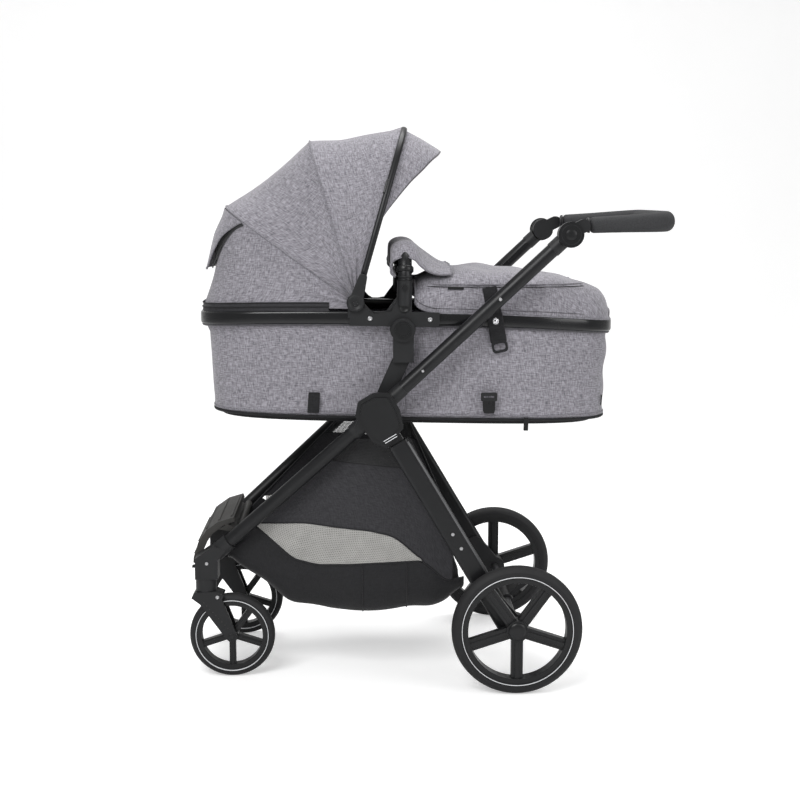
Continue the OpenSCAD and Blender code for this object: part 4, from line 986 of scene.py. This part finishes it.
def cover_rise(x):
    """Height of the crown over the rail: the table's straight lines, averaged over 20 mm each way, 6 mm at the end."""
    table = np.array(COVER_CROWN)
    reach = 0.020 - 0.014 * smooth_step(x, 0.36, 0.43)
    return np.mean([np.interp(x + d * reach, table[:, 0], table[:, 1]) for d in np.linspace(-1, 1, 9)], axis=0)


def cover_arch(x, a, grow=0.0):
    """Section of the cover at x: y = half cos^(2/5), height = rise sin^(2/3), over the rail's top."""
    half = rim_half_width(x, 0.0034) + grow
    low = RAIL_TOP - droop(x) - 0.001
    return np.stack([x + 0 * a, half * signed_power(np.cos(a), 2 / 5),
                     low + (cover_rise(x) + grow) * np.maximum(np.sin(a), 0) ** (2 / 3)], -1)


def cover_side_angle(x, z):
    """The angle at which the section at x has the level height z."""
    share = np.clip((z - (RAIL_TOP - droop(x) - 0.001)) / cover_rise(x), 0, 1)
    return np.arcsin(share ** 1.5)


def cover_hem_lift(x):
    """The hem follows the rail, and turns up in a quarter round at the front corner."""
    t = np.clip((0.079 - x) / 0.054, 0, 1)
    return 0.024 * (1 - np.sqrt(1 - 0.97 * t ** 2))


def even_sections(place, x, first, last, count):
    """Points spaced evenly along each section place(x, a) from the angle first to last."""
    share = np.linspace(0, 1, 400)[None, :]
    a = first[:, None] * (1 - share) + last[:, None] * share
    p = place(x[:, None], a)
    run = np.concatenate([np.zeros((len(x), 1)), np.cumsum(np.linalg.norm(np.diff(p, axis=1), axis=-1), axis=1)], 1)
    want = np.linspace(0, 1, count)
    return np.array([np.interp(want * r[-1], r, angle) for r, angle in zip(run, a)])


def make_foot_cover():
    """Crowned cover from the rail up, with soft waves and drag lines, and a turned-up front corner."""
    x = np.concatenate([np.linspace(COVER_X[0], 0.40, 62), np.linspace(0.405, COVER_X[1], 24)])
    first = cover_side_angle(x, RAIL_TOP - droop(x) - 0.001 + cover_hem_lift(x))
    a = even_sections(cover_arch, x, first, math.pi - first, 96)
    p = cover_arch(x[:, None], a)
    n = grid_normals(p)
    n *= np.sign((n * (p - np.array([0.2, 0, 0.02]))).sum(-1, keepdims=True))
    up = np.abs(n[..., 2:])
    held = smooth_step(np.linspace(0, 1, 96), 0.0, 0.04) * (1 - smooth_step(np.linspace(0, 1, 96), 0.96, 1.0))
    soft = 0.0022 * waves(p[..., 0], p[..., 1] + p[..., 2], (0.09, 0.24), 31)
    drag = 0.0016 * np.sin(p[..., 0] * 70 + 2.2 * np.sin(p[..., 1] * 14)) * up[..., 0]
    p = p + n * ((soft + drag) * held)[..., None]
    cover = cloth_sheet("foot_cover_cloth", lean(p[..., 0], p[..., 1], p[..., 2]), "seat", MELANGE, 0.0026)
    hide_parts("foot_cover")
    q = p + n * 0.0006
    for side, k in (("left", -1), ("right", 0)):
        edge = q[:, k]
        piping(f"cover_hem_{side}", lean(edge[:, 0], edge[:, 1], edge[:, 2]), 0.0021, "seat", GREY_HEM, up=(0, 0, 1))
    for k, edge in enumerate((q[0], q[-1])):
        piping(f"cover_end_hem_{k}", lean(edge[:, 0], edge[:, 1], edge[:, 2]), 0.0023, "seat", GREY_HEM, up=(1, 0, 0.1))
    for side in (-1, 1):
        name = "left" if side < 0 else "right"
        sx = x[(x < 0.398)]
        for k, (z0, r, material) in enumerate(((0.0935, 0.0017, GREY_HEM), (0.0885, 0.0009, WEBBING))):
            angle = cover_side_angle(sx, z0 + 0.0115 * sx)
            line = cover_arch(sx, angle, 0.0012)
            line[:, 1] *= side
            piping(f"cover_seam_{name}_{k}", lean(line[:, 0], line[:, 1], line[:, 2]), r, "seat", material, up=(0, 0, 1))
        angle = cover_side_angle(sx, RAIL_TOP + 0.0085 - droop(sx) + 1.15 * cover_hem_lift(sx))
        line = cover_arch(sx, angle, 0.0008)
        line[:, 1] *= side
        piping(f"cover_hem_stitch_{name}", lean(line[:, 0], line[:, 1], line[:, 2]), 0.0006, "seat", BINDING, up=(0, 0, 1),
               sides=6)
    pull_x = np.linspace(0.094, 0.128, 9)
    pull = cover_arch(pull_x, cover_side_angle(pull_x, 0.086 + 0 * pull_x), 0.0040)
    path = lean(pull[:, 0], -np.abs(pull[:, 1]), pull[:, 2])
    sweep("cover_zip_pull", path, round_box(0.0030, 0.0062, 0.0013, 4), (0, 0, 1), "seat", SMOOTH)


def make_strap():
    """Black strap from the cover's seam down over the rail: its face keeps to the outermost of what lies behind."""
    s = np.linspace(0, 0.117, 60)
    z = 0.0920 - s
    x = 0.1825 + 0.20 * s
    rail = np.where(np.abs(z - RAIL_Z) < RAIL_H / 2 + 0.003, 0.2044, 0.0)
    cover = np.abs(cover_arch(x, cover_side_angle(x, np.maximum(z, RAIL_TOP)), 0.0)[:, 1])
    tub = RIM_HALF_W - 0.0005 + 0 * z
    y = np.where(z > RAIL_TOP, cover, tub)
    y = np.maximum(y, rail) + 0.0020
    kernel = np.hanning(9) / np.hanning(9).sum()
    y = np.convolve(np.pad(y, 4, mode="edge"), kernel, "valid")
    half = 0.0152 + 0.0018 * smooth_step(s, 0.02, 0.09)
    v = np.linspace(-1, 1, 9)[None, :]
    grid = np.stack([x[:, None] + half[:, None] * v, -y[:, None] + 0 * v, z[:, None] + 0.20 * half[:, None] * v], -1)
    strap = cloth_sheet("cover_strap", lean(grid[..., 0], grid[..., 1], grid[..., 2]), "seat", WEBBING, 0.0022,
                        outward=False)
    i = int(np.argmin(np.abs(s - 0.072)))
    turned("strap_snap", lean(x[i], -y[i], z[i]), (0, -1, 0),
           [(-0.001, 0.003), (-0.001, 0.0068), (0.0012, 0.0070), (0.0021, 0.0062), (0.0024, 0.0052), (0.0018, 0.0044),
            (0.0018, 0.0030), (0.0026, 0.0022), (0.0028, 0.0006)], "seat", SNAP, 36)
    c = lean(x[-1] + 0.0022, -y[-1] + 0.0012, z[-1] - 0.0095)
    frame_plate("strap_end_loop", round_box(0.0340, 0.0260, 0.0080), round_box(0.0240, 0.0140, 0.0050), c, 0.0024, "seat",
                WEBBING, turn=-0.20)



def frame_plate(name, outer, inner, centre, thick, body, material, turn=0.0, side=-1):
    """A flat plate with a hole, square to Y: two outlines of one length joined front, back, outside and inside."""
    c, s = math.cos(turn), math.sin(turn)
    rows = []
    for outline, depth in ((outer, 0.0), (outer, 1.0), (inner, 1.0), (inner, 0.0)):
        rows.append(np.stack([centre[0] + outline[:, 0] * c + outline[:, 1] * s, np.full(len(outline), centre[1] + side * thick * depth),
                              centre[2] - outline[:, 0] * s + outline[:, 1] * c], -1))
    p = np.array(rows)
    piece = fix_outward(add_object(name, p.reshape(-1, 3), grid_faces(4, len(outer), True, True), body, material))
    piece.data.polygons.foreach_set("use_smooth", np.zeros(len(piece.data.polygons), bool))
    add_bevel(piece, 0.0005)
    return piece


def make_tub_trims():
    """Webbing tab, buckle with its loop and small strap, and zip pulls on the tub's left side."""
    def tape(name, x0, z0, z1, width, off, material, drift=0.0):
        z = np.linspace(z0, z1, 14)[:, None]
        v = np.linspace(-0.5, 0.5, 5)[None, :] * width
        y = -(np.interp(z, (-0.20, -0.17, 0.0), (0.1860, 0.1895, 0.1960)) + off)
        p = np.stack([x0 + drift * (z - z0) + v, y + 0 * v, z + 0 * v], -1)
        piece = cloth_sheet(name, lean(p[..., 0], p[..., 1], p[..., 2]), "seat", material, 0.0018, outward=False)

    tape("hem_tab", -0.1860, -0.140, -0.186, 0.0255, 0.0030, WEBBING, 0.05)
    tape("buckle_tail", 0.271, -0.188, -0.217, 0.0105, 0.0012, WEBBING)
    c = lean(0.188, -0.1985, -0.1425)
    frame_plate("hem_buckle", round_box(0.0350, 0.0185, 0.0030), round_box(0.0220, 0.0040, 0.0014), c, 0.0050, "seat", MOULDED)
    body = np.array([(-0.0132, -0.005), (0.0132, -0.005), (0.0132, -0.030), (0.0108, -0.0365), (-0.0108, -0.0365), (-0.0132, -0.030)])
    slab("hem_buckle_body", body + c[[0, 2]], c[1] - 0.0038, c[1] + 0.002, "seat", SMOOTH, 0.0014)
    x, y, z = tub_point(np.full(8, -0.331), np.linspace(0.60, 0.72, 8))
    sweep("foot_end_zip_pull", lean(x + 0.0036, y - 0.0018, z), round_box(0.0052, 0.0024, 0.0010, 4), (0.9, -0.45, 0), "seat", SMOOTH)


# ---------------------------------------------------------------- bumper

def make_bumper():
    """Cloth flap rolled over the bar and laid towards the cover, narrowing towards its end, and the posts' collars."""
    turn = np.radians(np.linspace(196, 40, 24))
    bend = POST_Y - 0.058
    reach = np.concatenate([np.linspace(0, bend, 22)[:-1], bend + 0.058 * np.sin(np.radians(np.linspace(0, 66, 12)))])
    y = np.concatenate([-reach[::-1], reach[1:]])
    tip_x = 0.1030
    rows = []
    for yy in y:
        middle = BAR_Z - 0.058 + math.sqrt(0.058 ** 2 - max(0.0, abs(yy) - bend) ** 2)
        side = smooth_step(abs(yy), 0.08, 0.19)
        arc = np.stack([POST_X + 0.031 * np.cos(turn), middle + 0.021 * np.sin(turn)], -1)
        low = np.array([POST_X - 0.0200, BAR_Z - 0.056])
        s = np.linspace(0, 1, 8)[:-1, None]
        skirt = low * (1 - s) + arc[0] * s
        skirt[:, 0] -= 0.004 * np.sin(s[:, 0] * math.pi)
        s = np.linspace(0, 1, 22)[1:]
        run_x = arc[-1, 0] * (1 - s) + tip_x * s
        share = np.clip(abs(yy) * (1 - 0.15 * s) / rim_half_width(run_x, 0.0034), 0, 0.995) ** 5
        lie = RAIL_TOP + 0.0068 + cover_rise(run_x) * (1 - share) ** (1 / 3)
        fall = (1 - s) ** (1.5 + 1.8 * side)
        run_z = np.maximum(lie[-1] + (arc[-1, 1] - lie[-1]) * fall, lie)
        rows.append(np.concatenate([skirt, arc, np.stack([run_x, run_z], -1)]))
    g = np.array(rows)
    across = y[:, None] + 0 * g[..., 0]
    ripple = 0.0012 * waves(across, g[..., 0] * 1.2, (0.05, 0.14), 41)
    across *= 1 - 0.15 * smooth_step(g[..., 0], POST_X + 0.02, tip_x)
    p = np.stack([g[..., 0], across, g[..., 1] + ripple * smooth_step(g[..., 0], 0.01, 0.05)], -1)
    flap = cloth_sheet("bumper_flap_cloth", lean(p[..., 0], p[..., 1], p[..., 2]), "bumper", MELANGE, 0.0045)
    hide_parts("bumper_flap")
    border = np.concatenate([p[0], p[1:-1, -1], p[::-1][0][::-1]])
    piping("bumper_flap_hem", lean(border[:, 0], border[:, 1], border[:, 2]), 0.0019, "bumper", GREY_HEM, up=(0.3, 0.9, 0.3))
    for side in (-1, 1):
        name = "left" if side < 0 else "right"
        turned(f"post_ring_{name}", lean(POST_X, side * (POST_Y - 0.0030), 0.1260), (0, -side * 0.30, 1),
               [(-0.0060, 0.0125), (-0.0060, 0.0168), (-0.0040, 0.0182), (0.0040, 0.0182), (0.0060, 0.0168), (0.0060, 0.0125)],
               "bumper", SMOOTH)
        for k, (z, r0, m) in enumerate(((0.1048, 0.0150, SMOOTH), (0.1120, 0.0148, MOULDED))):
            c = lean(POST_X, side * POST_Y, z)
            turned(f"post_collar_{name}_{k}", c, (math.sin(LEAN), 0, math.cos(LEAN)),
                   [(-0.0016, 0.012), (-0.0016, r0), (-0.0008, r0 + 0.0008), (0.0008, r0 + 0.0008), (0.0016, r0), (0.0016, 0.012)],
                   "bumper", m)


# ---------------------------------------------------------------- handle

def make_grip():
    """Foam sleeve along the handle's loop: an oval that fills out across the back, with rounded ends."""
    x0, z0 = HANDLE[0] + 0.044, HANDLE[2] + 0.0185
    x1, z1 = HANDLE[0] + 0.220, HANDLE[2] + 0.026
    w, corner = 0.205, 0.062
    a = np.linspace(0, math.pi / 2, 16)
    half = np.concatenate([
        np.stack([np.linspace(x0, x1 - corner, 26)[:-1], np.full(25, w)], -1),
        np.stack([x1 - corner + corner * np.sin(a), w - corner + corner * np.cos(a)], -1),
        np.stack([np.full(13, x1), np.linspace(w - corner, 0.006, 14)[1:]], -1)])
    plan = np.concatenate([half * [1, -1], half[::-1]])
    path = np.stack([plan[:, 0], plan[:, 1], z0 + (z1 - z0) * (plan[:, 0] - x0) / (x1 - x0)], -1)
    run = np.concatenate([[0], np.cumsum(np.linalg.norm(np.diff(path, axis=0), axis=1))])
    ends = np.minimum(run, run[-1] - run)
    shrink = np.sqrt(1 - (1 - np.clip(ends / 0.010, 0, 1)) ** 2) * 0.72 + 0.28
    share = np.clip((path[:, 0] - x0) / (x1 - x0), 0, 1) ** 1.5
    swell = 0.94 + 0.28 * share
    base = circle(0.018, 28)
    section = base[None] * shrink[:, None, None] * np.stack([np.ones_like(swell), swell], -1)[:, None]
    grip = sweep("grip_foam_sleeve", path, section, (0, 0, 1), "handle", FOAM)
    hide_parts("handle_grip")
    for side in (-1, 1):
        name = "left" if side < 0 else "right"
        c = np.array([x0 - 0.004, side * w, z0])
        turned(f"grip_ferrule_{name}", c, (1, 0, 0.037), [(0, 0.009), (0, 0.0150), (0.002, 0.0162), (0.005, 0.0162), (0.006, 0.009)],
               "handle", MOULDED, 32)


# ---------------------------------------------------------------- basket

BASKET_TOP = ((-0.318, 0.284), (-0.063, 0.538), (0.082, 0.538), (0.200, 0.262))
BASKET_LOW = ((-0.318, 0.271), (-0.270, 0.226), (-0.182, 0.155), (-0.093, 0.140), (0.061, 0.140), (0.130, 0.148),
              (0.171, 0.165), (0.200, 0.198))
BASKET_WIDE = ((-0.318, 0.135), (-0.180, 0.159), (-0.040, 0.192), (0.200, 0.204))
WINDOW_TOP = ((-0.257, 0.343), (-0.150, 0.348), (-0.004, 0.3355), (0.050, 0.323), (0.113, 0.268))
WINDOW_LOW = ((-0.257, 0.338), (-0.172, 0.265), (-0.118, 0.254), (0.113, 0.268), (0.165, 0.222), (0.190, 0.235))
BASKET_CURVE = 2 / 7


def table_at(table, x, width=0.0):
    """The table's straight lines at x, averaged over width each way where width is given."""
    t = np.array(table)
    return np.mean([np.interp(x + d, t[:, 0], t[:, 1]) for d in np.linspace(-width, width, 7)], axis=0)


def basket_arch(x, a):
    """Hanging section at x: y = half cos^(2/7), depth sin^(2/7), from the left top edge to the right one."""
    top, low = table_at(BASKET_TOP, x), table_at(BASKET_LOW, x, 0.014)
    half = table_at(BASKET_WIDE, x)
    y = -half * signed_power(np.cos(a), BASKET_CURVE)
    return np.stack([x + 0 * a, y, top - (top - low) * np.maximum(np.sin(a), 0) ** BASKET_CURVE], -1)


def basket_angle(x, z):
    """The angle at which the section at x is at the height z, on the left side."""
    top, low = table_at(BASKET_TOP, x), table_at(BASKET_LOW, x, 0.014)
    return np.arcsin(np.clip((top - z) / (top - low), 0, 1) ** (1 / BASKET_CURVE))


def basket_world(p):
    return p + np.array([MID_X, 0, 0])


def basket_panel(name, x, z_high, z_low, side, material, thick, count, ripple=0.0, seed=1):
    """A panel of the basket's side between two heights given at each x."""
    a0, a1 = basket_angle(x, z_high), basket_angle(x, z_low)
    a = even_sections(basket_arch, x, a0, a1, count)
    p = basket_arch(x[:, None], a)
    p[..., 1] += -ripple * waves(p[..., 0], p[..., 2], (0.06, 0.20), seed)
    if side > 0:
        p[..., 1] *= -1
    piece = cloth_sheet(name, basket_world(p), "chassis", material, thick, outward=side > 0)
    return piece, p


def make_basket():
    """Net band, charcoal sides with pale windows, and a black creased underside, with piping on every edge."""
    pieces = []
    for side in (-1, 1):
        name = "left" if side < 0 else "right"
        x = np.linspace(-0.110, 0.098, 46)
        top = table_at(BASKET_TOP, x)
        band, p = basket_panel(f"basket_net_{name}", x, top, np.minimum(0.480 - 0.10 * x, top - 0.0015), side, BLACK_NET, 0.0008, 12)
        pieces.append(band)
        piping(f"basket_band_seam_{name}", basket_world(p[:, -1]), 0.0014, "chassis", BLACK_CLOTH, up=(0, 0, 1), sides=8)
        x = np.linspace(-0.256, 0.176, 64)
        top = np.minimum(table_at(BASKET_TOP, x), 0.480 - 0.10 * x)
        line = np.minimum(np.where(x < 0.113, table_at(WINDOW_TOP, x, 0.016), table_at(WINDOW_LOW, x, 0.012)), top - 0.0015)
        upper, p = basket_panel(f"basket_side_{name}", x, top, line, side, CHARCOAL, 0.0014, 22, 0.0010, 51)
        pieces.append(upper)
        piping(f"basket_window_seam_{name}", basket_world(p[:, -1] + [0, side * 0.0006, 0]), 0.0019, "chassis", BLACK_CLOTH,
               up=(0, 0, 1), sides=8)
        x = np.linspace(-0.252, 0.110, 56)
        high, low = table_at(WINDOW_TOP, x, 0.016), table_at(WINDOW_LOW, x, 0.012)
        net, p = basket_panel(f"basket_window_{name}", x, high, np.minimum(low, high - 0.0015), side, PALE_NET, 0.0008, 12,
                              0.0008, 53)
        pieces.append(net)
        piping(f"basket_low_seam_{name}", basket_world(p[:, -1] + [0, side * 0.0006, 0]), 0.0019, "chassis", BLACK_CLOTH,
               up=(0, 0, 1), sides=8)
    x = np.concatenate([np.linspace(-0.316, -0.19, 22)[:-1], np.linspace(-0.19, 0.12, 52)[:-1], np.linspace(0.12, 0.198, 16)])
    edge = np.minimum(np.where(x < -0.257, 1.0, table_at(WINDOW_LOW, x, 0.012)), table_at(BASKET_TOP, x))
    first = basket_angle(x, edge - 0.0002)
    a = even_sections(basket_arch, x, first, math.pi - first, 110)
    p = basket_arch(x[:, None], a)
    n = grid_normals(p)
    n *= np.sign((n * (p - np.array([-0.05, 0, 0.30]))).sum(-1, keepdims=True))
    share = np.linspace(0, 1, 110)[None, :]
    held = smooth_step(share, 0.0, 0.05) * (1 - smooth_step(share, 0.95, 1.0)) + 0 * a
    down = p[..., 2]
    creases = 0.0022 * waves(p[..., 0] * 0.40, down * 1.25 + p[..., 1] * 0.3, (0.030, 0.11), 61)
    slack = 0.0036 * waves(p[..., 0], p[..., 1] + down, (0.12, 0.3), 63)
    p = p + n * ((creases + slack) * held)[..., None]
    under = cloth_sheet("basket_underside", basket_world(p), "chassis", BLACK_CLOTH, 0.0016)
    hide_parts("basket")
    for k, edge_line in enumerate((p[0], p[-1])):
        piping(f"basket_end_edge_{k}", basket_world(edge_line), 0.0024, "chassis", BLACK_CLOTH, up=(1, 0, 0.1))
    for k, at in enumerate((-0.020, 0.075)):
        column = int(np.argmin(np.abs(x - at)))
        piping(f"basket_seam_{k}", basket_world(p[column] + n[column] * 0.0006), 0.0015, "chassis", BLACK_CLOTH, up=(1, 0, 0.1),
               sides=8)
    xt = np.linspace(-0.316, 0.196, 120)
    for side in (-1, 1):
        line = basket_arch(xt, basket_angle(xt, table_at(BASKET_TOP, xt)))
        line[:, 1] *= -side
        piping(f"basket_top_edge_{'left' if side < 0 else 'right'}", basket_world(line), 0.0026, "chassis", BLACK_CLOTH,
               up=(0, 1, 0))


make_foot_cover()
make_strap()
make_tub_trims()
make_bumper()
make_grip()
make_basket()

# ---------------------------------------------------------------- small frame trims


def frame_line(start, direction, at, across, y, length, width, name, body, material, proud=0.0006):
    """A thin raised line square to a frame member: at and across are measured from start along the member."""
    d = np.asarray(direction) / np.linalg.norm(direction)
    e = np.array([d[1], -d[0]])
    middle = np.asarray(start) + d * at + e * across
    corners = [(-length / 2, -width / 2), (length / 2, -width / 2), (length / 2, width / 2), (-length / 2, width / 2)]
    outline = np.array([middle + e * a + d * b for a, b in corners])
    side = np.sign(y)
    slab(name, outline, *sorted((y - side * 0.0006, y + side * proud)), body, material, 0.0003)


def make_frame_trims():
    """Hub lines, light grey strips along the legs' edges as a painted highlight, fork dots and nuts, footrest ribs, and
    pivot rings on the handle.
    """
    leg = np.array([REAR_AXLE[0] - 0.017 - HUB[0], REAR_AXLE[2] - HUB[2]])
    leg_length = float(np.linalg.norm(leg))
    leg_way = leg / leg_length
    for side in (-1, 1):
        name = "left" if side < 0 else "right"
        for k, d in enumerate((0.0567, 0.0617)):
            frame_line(HUB[[0, 2]], leg, d, 0.0075, side * 0.2698, 0.031 - 0.002 * k, 0.0014, f"hub_line_{name}_{k}", "chassis",
                       SILVER, 0.0006)
        across = np.array([leg_way[1], -leg_way[0]])
        run = np.linspace(0.085, leg_length - 0.095, 4)
        path = [np.array([HUB[0], 0, HUB[2]]) + np.array([leg_way[0] * d - across[0] * 0.0195, side * 0.2572,
                                                          leg_way[1] * d - across[1] * 0.0195]) for d in run]
        # light grey strip along the leg's edge: a painted highlight
        sweep(f"leg_painted_highlight_{name}", path, round_box(0.0050, 0.0016, 0.0006, 3), (0, side, 0), "rear_frame", PAINTED_HIGHLIGHT_GREY)
        fork = f"caster_{name}"
        y = side * (0.155 + 0.0243)
        caster = np.array([CASTER[0], 0, 0.0])
        for k, s in enumerate(np.linspace(0, 1, 9)):
            c = caster + [-0.004 + 0.052 * s, y, 0.172 - 0.058 * s]
            turned(f"fork_dot_{name}_{k}", c, (0, side, 0), [(-0.001, 0.0006), (-0.001, 0.0011), (0.0003, 0.0011), (0.0006, 0.0006)],
                   fork, FOOT_PLASTIC, 10)
        for k, (dx, z, r) in enumerate(((0.026, 0.184, 0.0042), (0.056, 0.094, 0.0080))):
            turned(f"fork_screw_{name}_{k}", caster + [dx, y - side * 0.0006, z], (0, side, 0),
                   [(-0.001, r * 0.4), (-0.001, r), (0.0012, r), (0.0020, r * 0.85), (0.0020, r * 0.45), (0.0011, r * 0.35),
                    (0.0010, r * 0.1)], fork, STEEL if k == 0 else SMOOTH, 24)
        for k, (r0, r1) in enumerate(((0.0195, 0.0212),)):
            c = np.array([HANDLE[0], side * 0.2580, HANDLE[2]])
            turned(f"handle_disc_ring_{name}_{k}", c, (0, side, 0),
                   [(-0.0015, r0), (0.0002, r0), (0.0010, (r0 + r1) / 2), (0.0002, r1), (-0.0015, r1)],
                   f"handle_button_{name}", MOULDED)
        turned(f"handle_disc_centre_{name}", [HANDLE[0], side * 0.2580, HANDLE[2]], (0, side, 0),
               [(-0.0012, 0.004), (-0.0012, 0.0120), (0.0004, 0.0120), (0.0012, 0.0108), (0.0014, 0.003)],
               f"handle_button_{name}", SMOOTH)
        outer = side * (0.196 + RAIL_W / 2 + 0.012)
        for k, (dx, dz) in enumerate(((-0.070, RAIL_Z), (0.057, RAIL_Z))):
            turned(f"rail_screw_{name}_{k}", lean(dx, outer, dz), (0, side, 0),
                   [(-0.001, 0.002), (-0.001, 0.0050), (0.0010, 0.0050), (0.0018, 0.0042), (0.0018, 0.0022), (0.0008, 0.0016),
                    (0.0007, 0.0004)], "seat", STEEL, 24)
        turned(f"housing_boss_{name}", lean(POST_X, outer, 0.047), (0, side, 0),
               [(-0.001, 0.004), (-0.001, 0.0120), (0.0012, 0.0120), (0.0022, 0.0108), (0.0022, 0.0090), (0.0014, 0.0080),
                (0.0014, 0.0006)], "seat", SMOOTH, 32)
        for k, (p, q) in enumerate((((-0.088, 0.050), (-0.060, 0.034)), ((-0.060, 0.034), (-0.026, 0.040)),
                                    ((-0.026, 0.040), (-0.014, 0.066)))):
            ends = np.array([p, q])
            rib = lean(ends[:, 0], outer + side * 0.0003, ends[:, 1])
            piping(f"housing_rib_{name}_{k}", rib, 0.0013, "seat", MOULDED, up=(0, 1, 0), sides=8)
        for k, (dx, z, r, y) in enumerate(((0.270, 0.8405, 0.0036, 0.2476), (0.108, 0.6903, 0.0030, 0.2486))):
            turned(f"tube_screw_{name}_{k}", np.array([MID_X + dx, side * y, z]), (0, side, 0),
                   [(-0.0018, r * 0.5), (-0.0018, r), (0.0008, r), (0.0014, r * 0.8), (0.0014, r * 0.3), (0.0006, r * 0.1)],
                   "push_frame", STEEL, 20)
    face = np.array([(0.054, 0.3502), (0.026, 0.3420), (-0.002, 0.3220), (-0.019, 0.2958), (-0.0285, 0.2680)])
    for k, (dx, z) in enumerate(face):
        nearby = face[min(k + 1, 4)] - face[max(k - 1, 0)]
        tangent = nearby / np.linalg.norm(nearby)
        normal = np.array([tangent[1], -tangent[0]])
        normal *= np.sign(normal @ np.array([-1.0, 0.3]))
        c = np.array([CASTER[0] + dx, z]) + normal * 0.0008
        outline = np.array([c + tangent * a + normal * b for a, b in ((-0.003, -0.003), (0.003, -0.003), (0.0022, 0.0012),
                                                                       (-0.0022, 0.0012))])
        slab(f"footrest_rib_{k}", outline, -0.112, 0.112, "chassis", FOOT_PLASTIC, 0.0008)


make_frame_trims()

# ---------------------------------------------------------------- finish slots, studio and end


def area_light(name, place, target, size, power):
    """A soft square light that looks at target."""
    data = bpy.data.lights.new(name, "AREA")
    data.shape = "RECTANGLE"
    data.size, data.size_y = size
    data.energy = power
    light = bpy.data.objects.new(name, data)
    light.location = place
    way = np.asarray(target, float) - np.asarray(place, float)
    light.rotation_euler = (math.acos(-way[2] / np.linalg.norm(way)), 0.0, math.atan2(way[1], way[0]) - math.pi / 2)
    bpy.context.scene.collection.objects.link(light)


def make_studio():
    """Pale floor that runs up into a backdrop, a white world, and three large soft lights."""
    span = np.linspace(-7.0, 7.0, 29)
    depth = np.concatenate([np.linspace(-6.0, 3.0, 19), 3.0 + 2.0 * np.sin(np.linspace(0.1, 1, 12) * math.pi / 2)])
    rise = np.concatenate([np.zeros(19), 2.0 * (1 - np.cos(np.linspace(0.1, 1, 12) * math.pi / 2))])
    depth, rise = np.append(depth, 5.0), np.append(rise, 7.0)
    p = np.stack([span[None, :] + 0 * depth[:, None], depth[:, None] + 0 * span[None, :], rise[:, None] + 0 * span[None, :]], -1)
    material, tree, surface = new_material("pale_floor")
    mottle = shader(tree, "ShaderNodeTexNoise", None, Vector=object_place(tree), Scale=1.4, Detail=3.0)
    tree.links.new(mixed(tree, mottle.outputs[0], (0.86, 0.86, 0.86), (0.90, 0.90, 0.90)), surface.inputs["Base Color"])
    surface.inputs["Roughness"].default_value = 0.55
    surface.inputs["Emission Color"].default_value = (1.0, 1.0, 1.0, 1)
    seen = shader(tree, "ShaderNodeLightPath").outputs["Is Camera Ray"]
    tree.links.new(math_node(tree, "MULTIPLY", seen, 0.36), surface.inputs["Emission Strength"])
    floor = add_object("studio_floor", p.reshape(-1, 3), grid_faces(*p.shape[:2]), None, material)
    world = bpy.data.worlds.new("studio")
    world.use_nodes = True
    world.node_tree.nodes["Background"].inputs["Color"].default_value = (1.0, 1.0, 1.0, 1)
    world.node_tree.nodes["Background"].inputs["Strength"].default_value = 0.36
    bpy.context.scene.world = world
    bpy.context.scene.view_settings.view_transform = "Standard"
    area_light("key", (-1.6, -3.0, 3.2), (0, 0, 0.6), (2.2, 2.2), 128)
    area_light("fill", (2.6, -2.2, 1.8), (0, 0, 0.6), (2.0, 2.0), 44)
    area_light("top", (0.2, 0.8, 3.6), (0, 0, 0.7), (3.0, 2.0), 95)


make_studio()
